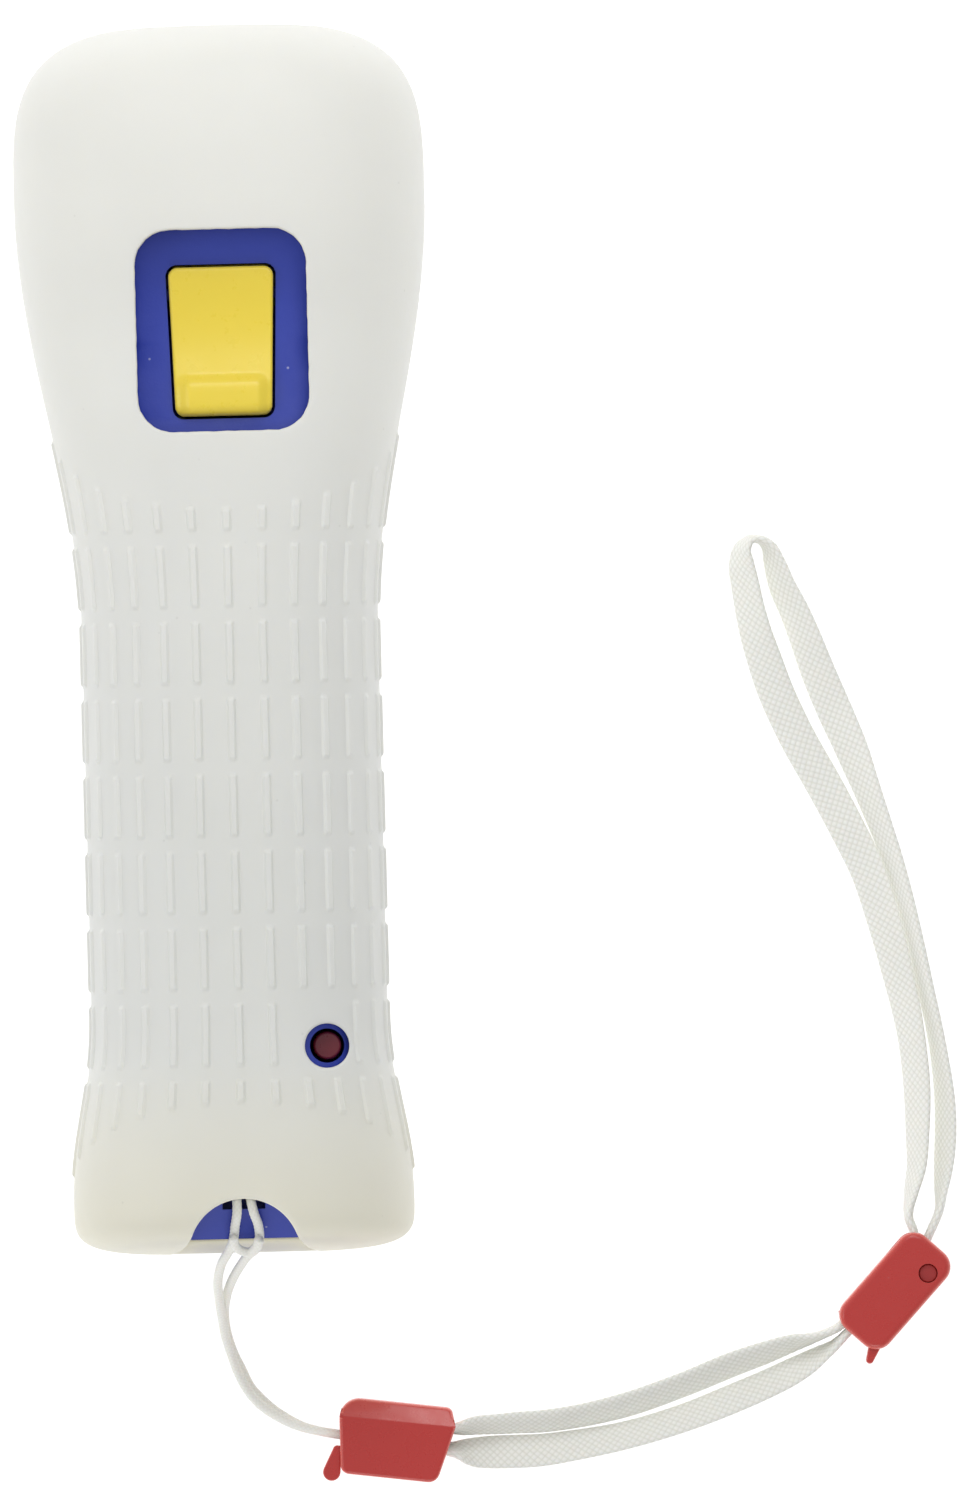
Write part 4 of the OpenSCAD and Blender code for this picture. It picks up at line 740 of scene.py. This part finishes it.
stand = np.radians(lace_path[:, 3:4])
wide = np.cos(stand) * level + np.sin(stand) * np.cross(way, level)
thin = np.cross(way, wide)
lace_along = np.linspace(0, lace_length, len(lace_path)) / lace_stitch
sunk = 1 - lace_relief * (1 - diamonds(np.arange(lace_points)[None] / 4, lace_along[:, None])) / (lace_t / 2)
rings = (lace_path[:, None, :3] + edge_x[None, :, None] * wide[:, None]
         + (edge_z[None] * sunk)[..., None] * thin[:, None])
lace = wrapped("lace_braid", rings, lace_stitches, lace_length / lace_stitch)
bpy.ops.object.shade_smooth()
lace_cream = braided("lace_cream", light_of(255, 255, 250), light_of(232, 232, 223), 0.05)
finish_piece(lace, "controller", "cord_fabric", lace_cream, "lace")

# Lock. A red case that slides along both runs of the lace to tighten the loop; its lever turns on a
# pin that goes right through, and presses the lace against the wall.
lock_case = copied("lock_case")
lock_rim, lock_height, pin_hole = 0.85, 7.4, 2.2
pin_x, pin_y = 89.4, -85.5


def on_lock_rim(x, y, z):
    """Whether a point is on the lock's upper rim, clear of the pin."""
    return z > lock_height - near and math.hypot(x - pin_x, y - pin_y) > pin_hole


round_rim(lock_case, lock_rim, on_lock_rim)
round_over(lock_case, 0.2)
finish_piece(lock_case, "lock", "red_plastic", clip_red, "lock_case")
lock_lever = softened("lock_lever", "lock_lever", "red_plastic", clip_red, 0.3)
lock_pin = softened("lock_pin", "lock", "red_plastic", pin_red_painted_shade, 0.2)

# Grip jacket. One piece of soft white silicone, moulded hollow and stretched over the controller from
# its face; it is thick at the head and the base, and its waist is ribbed all round the back.
head_half, grip_half, base_half = 26.9, 19.4, 22.3
head_back, dip_back, grip_back, base_back = 39, 35.4, 34.6, 37
head_y, dip_y, waist_y, flare_y, base_y = 58, 38.4, 0.5, -49.5, -73.5
jacket_end = 80.5
belly_z, front_sink = 17, 4
back_power, front_power = 2.6, 5
plan_powers, side_powers = (3.5, 4.5), (3.6, 2.8)
rib_turn, rib_columns, rib_rows = 13, 7, 7
rib_start, rib_pitch, rib_len, rib_w, rib_h = 8.2, 10, 8.2, 1, 0.35
end_rib, end_rib_gain = 3, 0.19
rib_spread, rib_side, rib_tip = 0.12, 0.34, 0.5
sync_x, sync_y, sync_r = 11.4, -53.5, 2.9
sync_margin = 0.9
rim_round = 1.4


def wave(a, b, start, end, y):
    """A smooth way from one value to another, between two places along the jacket."""
    t = np.clip((y - start) / (end - start), 0, 1)
    return a + (b - a) * (1 - np.cos(math.pi * t)) / 2


def half_at(y):
    """Half the jacket's width at a place along it."""
    return np.where(y > waist_y, wave(grip_half, head_half, waist_y, head_y, y),
                    wave(grip_half, base_half, flare_y, base_y, y))


def rise_at(y):
    """Height of the jacket's back above its widest line at a place along it."""
    grip = np.where(y > flare_y, wave(grip_back, dip_back, waist_y, dip_y, y),
                    wave(grip_back, base_back, flare_y, base_y, y))
    top = np.where(y > dip_y, wave(dip_back, head_back, dip_y, head_y, y), grip)
    return top - belly_z


def fades_at(y):
    """How far the jacket has drawn in towards its ends, in plan and from the side."""
    t = np.clip(np.maximum((y - head_y) / (jacket_end - head_y), (base_y - y) / (jacket_end + base_y)), 0, 1)
    return [np.where(y > 0, (1 - t ** head) ** (1 / head), (1 - t ** base) ** (1 / base))
            for head, base in (plan_powers, side_powers)]


def jacket_points(turns, y):
    """Points of the jacket's skin for turns round it from the back, at places along it."""
    plan, side = fades_at(y)
    s, c = np.sin(turns)[None], np.cos(turns)[None]
    power = np.where(c >= 0, 2 / back_power, 2 / front_power)
    reach = np.where(c >= 0, (rise_at(y) * side)[:, None], ((belly_z + front_sink) * plan)[:, None])
    x = (half_at(y) * plan)[:, None] * np.sign(s) * np.abs(s) ** power
    z = belly_z + reach * np.sign(c) * np.abs(c) ** power
    return np.stack([x, np.broadcast_to(y[:, None], x.shape), z], 2)


def back_z(x, y):
    """Height of the jacket's back over a place in plan."""
    plan, side = fades_at(y)
    share = np.clip(np.abs(x) / (half_at(y) * plan), 0, 0.999)
    return belly_z + rise_at(y) * side * (1 - share ** back_power) ** (1 / back_power)


# turns of the columns: close together over each rib, wider between the ribs and below
fine_turns = np.linspace(-math.pi / 2, math.pi / 2, 8001)
grip_ring = jacket_points(fine_turns, np.array([-20.0]))[0]
ring_run = run_along(grip_ring)
rib_share = np.array([math.copysign(math.sin(math.radians(min(rib_turn * abs(k), 88))), k)
                      for k in range(-rib_columns, rib_columns + 1)])
rib_at = np.interp(rib_share * grip_half, grip_ring[:, 0], ring_run)
by_rib = np.array((-0.8, -0.6, -0.45, -0.3, -0.15, 0, 0.15, 0.3, 0.45, 0.6, 0.8))
stops = np.clip([0, *np.add.outer(rib_at, by_rib).ravel(), ring_run[-1]], 0, ring_run[-1])
stops.sort()
least_step, most_step = 0.05, 0.9
runs = [stops[0]]
for a, b in zip(stops, stops[1:]):
    if b - a > least_step:
        runs += list(np.linspace(a, b, max(1, math.ceil((b - a) / most_step)) + 1)[1:])
runs = np.array(runs)
back_turns = np.interp(runs, ring_run, fine_turns)
front_turns = np.linspace(math.pi / 2, 3 * math.pi / 2, 66)[1:-1]
turns = np.concatenate([back_turns, front_turns])
# places of the rows: close together at the ends of the ribs and of the jacket
gap = rib_pitch - rib_len
rows_above, rows_head, rows_base, rows_below, tail_rows = 27.4, 16, -59.7, -70.4, -71
row_reach, row_inset, cap_power = 0.7, 1.8, 0.75
places = [np.linspace(head_y, rows_above, 30, endpoint=False),
          np.linspace(rows_above, rows_head, 33, endpoint=False)]
for r in range(rib_rows + 1):
    middle = rib_start + rib_pitch / 2 - r * rib_pitch
    places.append(np.linspace(middle + gap / 2 + row_reach, middle - gap / 2 - row_reach, 15))
    if r < rib_rows:
        places.append(np.linspace(middle - gap / 2 - row_inset, middle - rib_pitch + gap / 2 + row_inset, 5))
places += [np.linspace(rows_base, rows_below, 32), np.linspace(tail_rows, base_y, 4)]
cap = np.sin(np.linspace(0, 1, 34) * math.pi / 2) ** cap_power
places += [head_y + cap * (jacket_end - head_y), base_y - cap[1:] * (jacket_end + base_y)]
places = np.unique(np.round(np.concatenate(places), 3))
skin = jacket_points(turns, places)
# ribs, raised square to the skin with soft edges
step_round = np.roll(skin, -1, 1) - np.roll(skin, 1, 1)
step_along = np.gradient(skin, axis=0)
square = np.cross(step_round, step_along)
square /= np.maximum(np.linalg.norm(square, axis=2, keepdims=True), 1e-9)
square *= np.sign((square[..., 0] * skin[..., 0] + square[..., 2] * (skin[..., 2] - belly_z)).mean())
raised = np.zeros(skin.shape[:2])
for k, at in zip(range(-rib_columns, rib_columns + 1), rib_at):
    across = np.zeros(len(turns))
    across[:len(runs)] = ease((rib_w / 2 + rib_spread - np.abs(runs - at)) / rib_side)
    rib_x = rib_share[k + rib_columns] * grip_half
    spans = [(rib_start - r * rib_pitch - rib_len / 2, rib_start - r * rib_pitch + rib_len / 2)
             for r in range(rib_rows)]
    clear_of_hole = abs(rib_x - sync_x) > sync_r + sync_margin
    spans = [s for s in spans if clear_of_hole or abs(sum(s) / 2 - sync_y) > rib_pitch / 2]
    extra = end_rib + end_rib_gain * k * k
    first = rib_start + rib_pitch - rib_len / 2
    last = rib_start - rib_rows * rib_pitch + rib_len / 2
    spans += [(first, first + extra), (last - extra, last)]
    for low, high in spans:
        down = ease((places - low + rib_spread) / rib_tip) * ease((high + rib_spread - places) / rib_tip)
        raised = np.maximum(raised, across[None] * down[:, None])
skin = skin + square * (rib_h * raised)[..., None]
skin[..., 2] = soft_max(skin[..., 2], 0, rim_round)
jacket = wrapped("jacket_skin", skin, 1, 1)


def edge_profile(radius):
    """Steps out and up of a rounded edge, to where it runs out over the skin."""
    turned = np.radians((0, 15, 30, 45, 58, 70))
    steps = [(radius * (1 - math.cos(a)), radius * (math.sin(a) - 1)) for a in turned]
    out, up = steps[-1]
    lift, run_out = 0.35, math.radians(20)
    return steps + [(out + (lift - up) / math.tan(run_out), lift)]


def circle(angles):
    """Points of a circle one unit in radius."""
    return np.stack([np.cos(angles), np.sin(angles)], 1)


def round_rectangle(width, height, radius, per_corner=14, side_step=0.8):
    """Points and outward directions round a rectangle with round corners, and finely along its sides."""
    corners = []
    for k, (sx, sy) in enumerate(((1, 1), (-1, 1), (-1, -1), (1, -1))):
        angles = np.linspace(0, math.pi / 2, per_corner) + k * math.pi / 2
        centre = np.array((sx * (width / 2 - radius), sy * (height / 2 - radius)))
        ways = circle(angles)
        corners.append((centre + radius * ways, ways))
    points, outward = [], []
    for (corner, ways), (following, _) in zip(corners, corners[1:] + corners[:1]):
        side = following[0] - corner[-1]
        share = np.linspace(0, 1, max(2, int(np.linalg.norm(side) / side_step)))[1:-1, None]
        points += [corner, corner[-1] + side * share]
        outward += [ways, np.repeat(ways[-1:], len(share), 0)]
    return np.vstack(points), np.vstack(outward)


def cut_away(rings):
    """Cuts the solid skinned over rings of points out of the jacket."""
    tool = wrapped("cutter", np.array(rings), 1, 1)
    pick(jacket)
    cutting = jacket.modifiers.new("cutting", "BOOLEAN")
    cutting.operation = "DIFFERENCE"
    cutting.solver = "MANIFOLD"
    cutting.object = tool
    bpy.ops.object.modifier_apply(modifier="cutting")
    bpy.data.meshes.remove(tool.data)


def ring_at(outline, z):
    """A level ring of points."""
    return np.column_stack([outline, np.full(len(outline), z)])


def ring_across(outline, y):
    """An upright ring of points across the jacket."""
    return np.column_stack([outline[:, 0], np.broadcast_to(y, len(outline)), outline[:, 1]])


through_floor, far_above = 22.0, 52.0


def cut_through_back(outline, outward, floor, radius, surface):
    """Cuts an opening with a rounded edge down through the jacket's back."""
    rings = [ring_at(outline, floor)]
    for out, up in edge_profile(radius):
        at = outline + out * outward
        rings.append(np.column_stack([at, surface(at[:, 0], at[:, 1]) + up]))
    cut_away([*rings, ring_at(at, far_above)])


# hollow for the controller
body_half, body_back, body_front = 18.3, 32.4, 3.0
back_round, front_round = 12.2, 2.7
hollow_tail, hollow_head = -78.7, 69.7
hollow = []
corners = ((1, 1, back_round), (-1, 1, back_round), (-1, -1, front_round), (1, -1, front_round))
for k, (sx, sz, r) in enumerate(corners):
    centre = (sx * (body_half - r), body_back - r if sz > 0 else body_front + r)
    hollow.append(centre + r * circle(np.radians(np.linspace(90 * k, 90 * k + 90, 20))))
cut_away([ring_across(np.vstack(hollow), y) for y in (hollow_tail, hollow_head)])
# opening over the face, with a rounded rim
face_w, face_len, face_corner, face_y, face_edge, face_deep = 30.6, 136, 6, -2.5, 0.8, 6.0
outline, outward = round_rectangle(face_w, face_len, face_corner)
outline[:, 1] += face_y
rim_edge = edge_profile(face_edge)
rings = [ring_at(outline, face_deep)]
rings += [ring_at(outline + out * outward, -up) for out, up in rim_edge]
cut_away([*rings, ring_at(outline + rim_edge[-1][0] * outward, -face_deep)])
# window over the trigger, its edge a little ragged where the flash was trimmed
window_w, window_len, window_corner, window_y, window_edge = 22.4, 26.4, 4.6, 40.3, 0.35
outline, outward = round_rectangle(window_w, window_len, window_corner)
ragged = np.arange(len(outline)) / len(outline) * 2 * math.pi
flash = 0.015 * np.sin(23 * ragged + 1) + 0.02 * np.sin(37 * ragged) + 0.015 * np.sin(53 * ragged + 2)
outline = outline + outward * flash[:, None]
outline[:, 1] += window_y
cut_through_back(outline, outward, through_floor, window_edge, back_z)
# hole over the sync button
hole_edge = 0.45
around = np.linspace(0, 2 * math.pi, 64, endpoint=False)
outward = circle(around)
cut_through_back((sync_x, sync_y) + sync_r * outward, outward, through_floor, hole_edge, back_z)
# notch in the tail for the cord and the port: an arch whose legs flare out over round corners
notch_arch, notch_top, notch_flare, notch_floor = 7.3, -73.2, 4, 11.0
end_y, beyond_y, skin_end, notch_edge = -80.5, -84, -77.6, 0.45
arch_y = notch_top - notch_arch
flare_x = math.sqrt((notch_arch + notch_flare) ** 2 - (end_y + notch_flare - arch_y) ** 2)
meet = math.atan2(end_y + notch_flare - arch_y, flare_x)
arch = np.linspace(meet, math.pi - meet, 60)
arch_points = (0, arch_y) + notch_arch * circle(arch)
bend = np.linspace(-math.pi / 2, meet - math.pi, 24)[:-1]
leg_points = (flare_x, end_y + notch_flare) + notch_flare * circle(bend)
beyond = np.linspace((flare_x, beyond_y), leg_points[0], 6)[:-1]
right_side = np.vstack([beyond, leg_points])
left_side = right_side[::-1] * (-1, 1)
base_side = np.linspace((-flare_x, beyond_y), (flare_x, beyond_y), 12)[1:-1]
outline = np.vstack([right_side, arch_points, left_side, base_side])
along = np.roll(outline, -1, 0) - np.roll(outline, 1, 0)
outward = np.column_stack([along[:, 1], -along[:, 0]]) / np.linalg.norm(along, axis=1, keepdims=True)
cut_through_back(outline, outward, notch_floor, notch_edge, lambda x, y: back_z(x, np.maximum(y, skin_end)))
# lip below the notch, rounded over to the outside
lip_reach, lip_top = 1.8, notch_floor + 0.4
rings = []
for y in np.concatenate([end_y + lip_reach * np.cos(np.linspace(0.1, math.pi / 2, 14)), [beyond_y]]):
    half = flare_x - math.sqrt(max(notch_flare ** 2 - (max(y, end_y) - end_y - notch_flare) ** 2, 0))
    low = notch_floor - lip_reach + math.sqrt(max(lip_reach ** 2 - (max(y, end_y) - end_y) ** 2, 0))
    rings.append([(half, y, low), (half, y, lip_top), (-half, y, lip_top), (-half, y, low)])
cut_away(rings)
# tunnel in front of the sensor window
tunnel_w, tunnel_h, tunnel_corner, tunnel_z, tunnel_edge = 24, 11.6, 2.4, 19, 0.8
tunnel_from, tunnel_to = 66.0, 90.0
outline, outward = round_rectangle(tunnel_w, tunnel_h, tunnel_corner)
outline[:, 1] += tunnel_z


def head_end(x, z):
    """Where the jacket's head ends, over a place in its end view."""
    low, high = np.full(len(x), head_y, float), np.full(len(x), jacket_end, float)
    for _ in range(40):
        middle = (low + high) / 2
        plan, side = fades_at(middle)
        up = np.where(z > belly_z, rise_at(middle) * side, (belly_z + front_sink) * plan)
        power = np.where(z > belly_z, back_power, front_power)
        full = (np.abs(x) / np.maximum(half_at(middle) * plan, 1e-6)) ** power + (
            np.abs(z - belly_z) / np.maximum(up, 1e-6)) ** power
        low, high = np.where(full < 1, middle, low), np.where(full < 1, high, middle)
    return low


rings = [ring_across(outline, tunnel_from)]
for out, up in edge_profile(tunnel_edge):
    at = outline + out * outward
    rings.append(ring_across(at, head_end(at[:, 0], at[:, 1]) + up))
cut_away([*rings, ring_across(at, tunnel_to)])
bpy.ops.object.shade_smooth_by_angle(angle=math.radians(38))
# the silicone's emission is a painted glow, used only on the lip below the notch
silicone, tree, shader = new_finish("silicone_white", {
    "Subsurface Weight": 0.25, "Subsurface Radius": (0.004, 0.0037, 0.003), "Subsurface Scale": 1.0,
    "Specular IOR Level": 0.4, "Sheen Weight": 0.08, "Sheen Roughness": 0.5, "Emission Strength": 0.18})
place = add_node(tree, "TexCoord").outputs["Object"]
parted = add_node(tree, "SeparateXYZ", {0: place}).outputs
# painted shade: the silicone is greyer from the head to the grip, standing in for the light that falls off
# along the wand
towards_grip = ranged(tree, parted[1], 0.06, -0.03)
grip_painted_shade = blended(tree, towards_grip, light_of(238, 238, 232), light_of(231, 232, 227))
towards_base = ranged(tree, parted[1], -0.055, -0.078)
aged = blended(tree, towards_base, grip_painted_shade, light_of(234, 231, 214))
# painted glow: the thin lip below the notch is made to glow, to lighten it where it lies deep in shade
painted_glow_mask = ranged(tree, maths(tree, "ABSOLUTE", parted[0]), 0.011, 0.007)
for axis, start, full in ((1, -0.078, -0.079), (2, 0.008, 0.0105), (2, 0.0125, 0.0115)):
    painted_glow_mask = maths(tree, "MULTIPLY", painted_glow_mask, ranged(tree, parted[axis], start, full))
painted_lip_glow = blended(tree, painted_glow_mask, (0, 0, 0, 1), (1, 0.99, 0.97, 1))
tree.links.new(painted_lip_glow, shader.inputs["Emission Color"])
wear(tree, shader, place, aged, (0.25, 0.24, 0.22, 1), 0.06, 0.12, 0.5)
raise_skin(tree, shader, grained(tree, place, 1700), 0.014)
finish_piece(jacket, "controller", "silicone", silicone, "grip_jacket")

low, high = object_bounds()
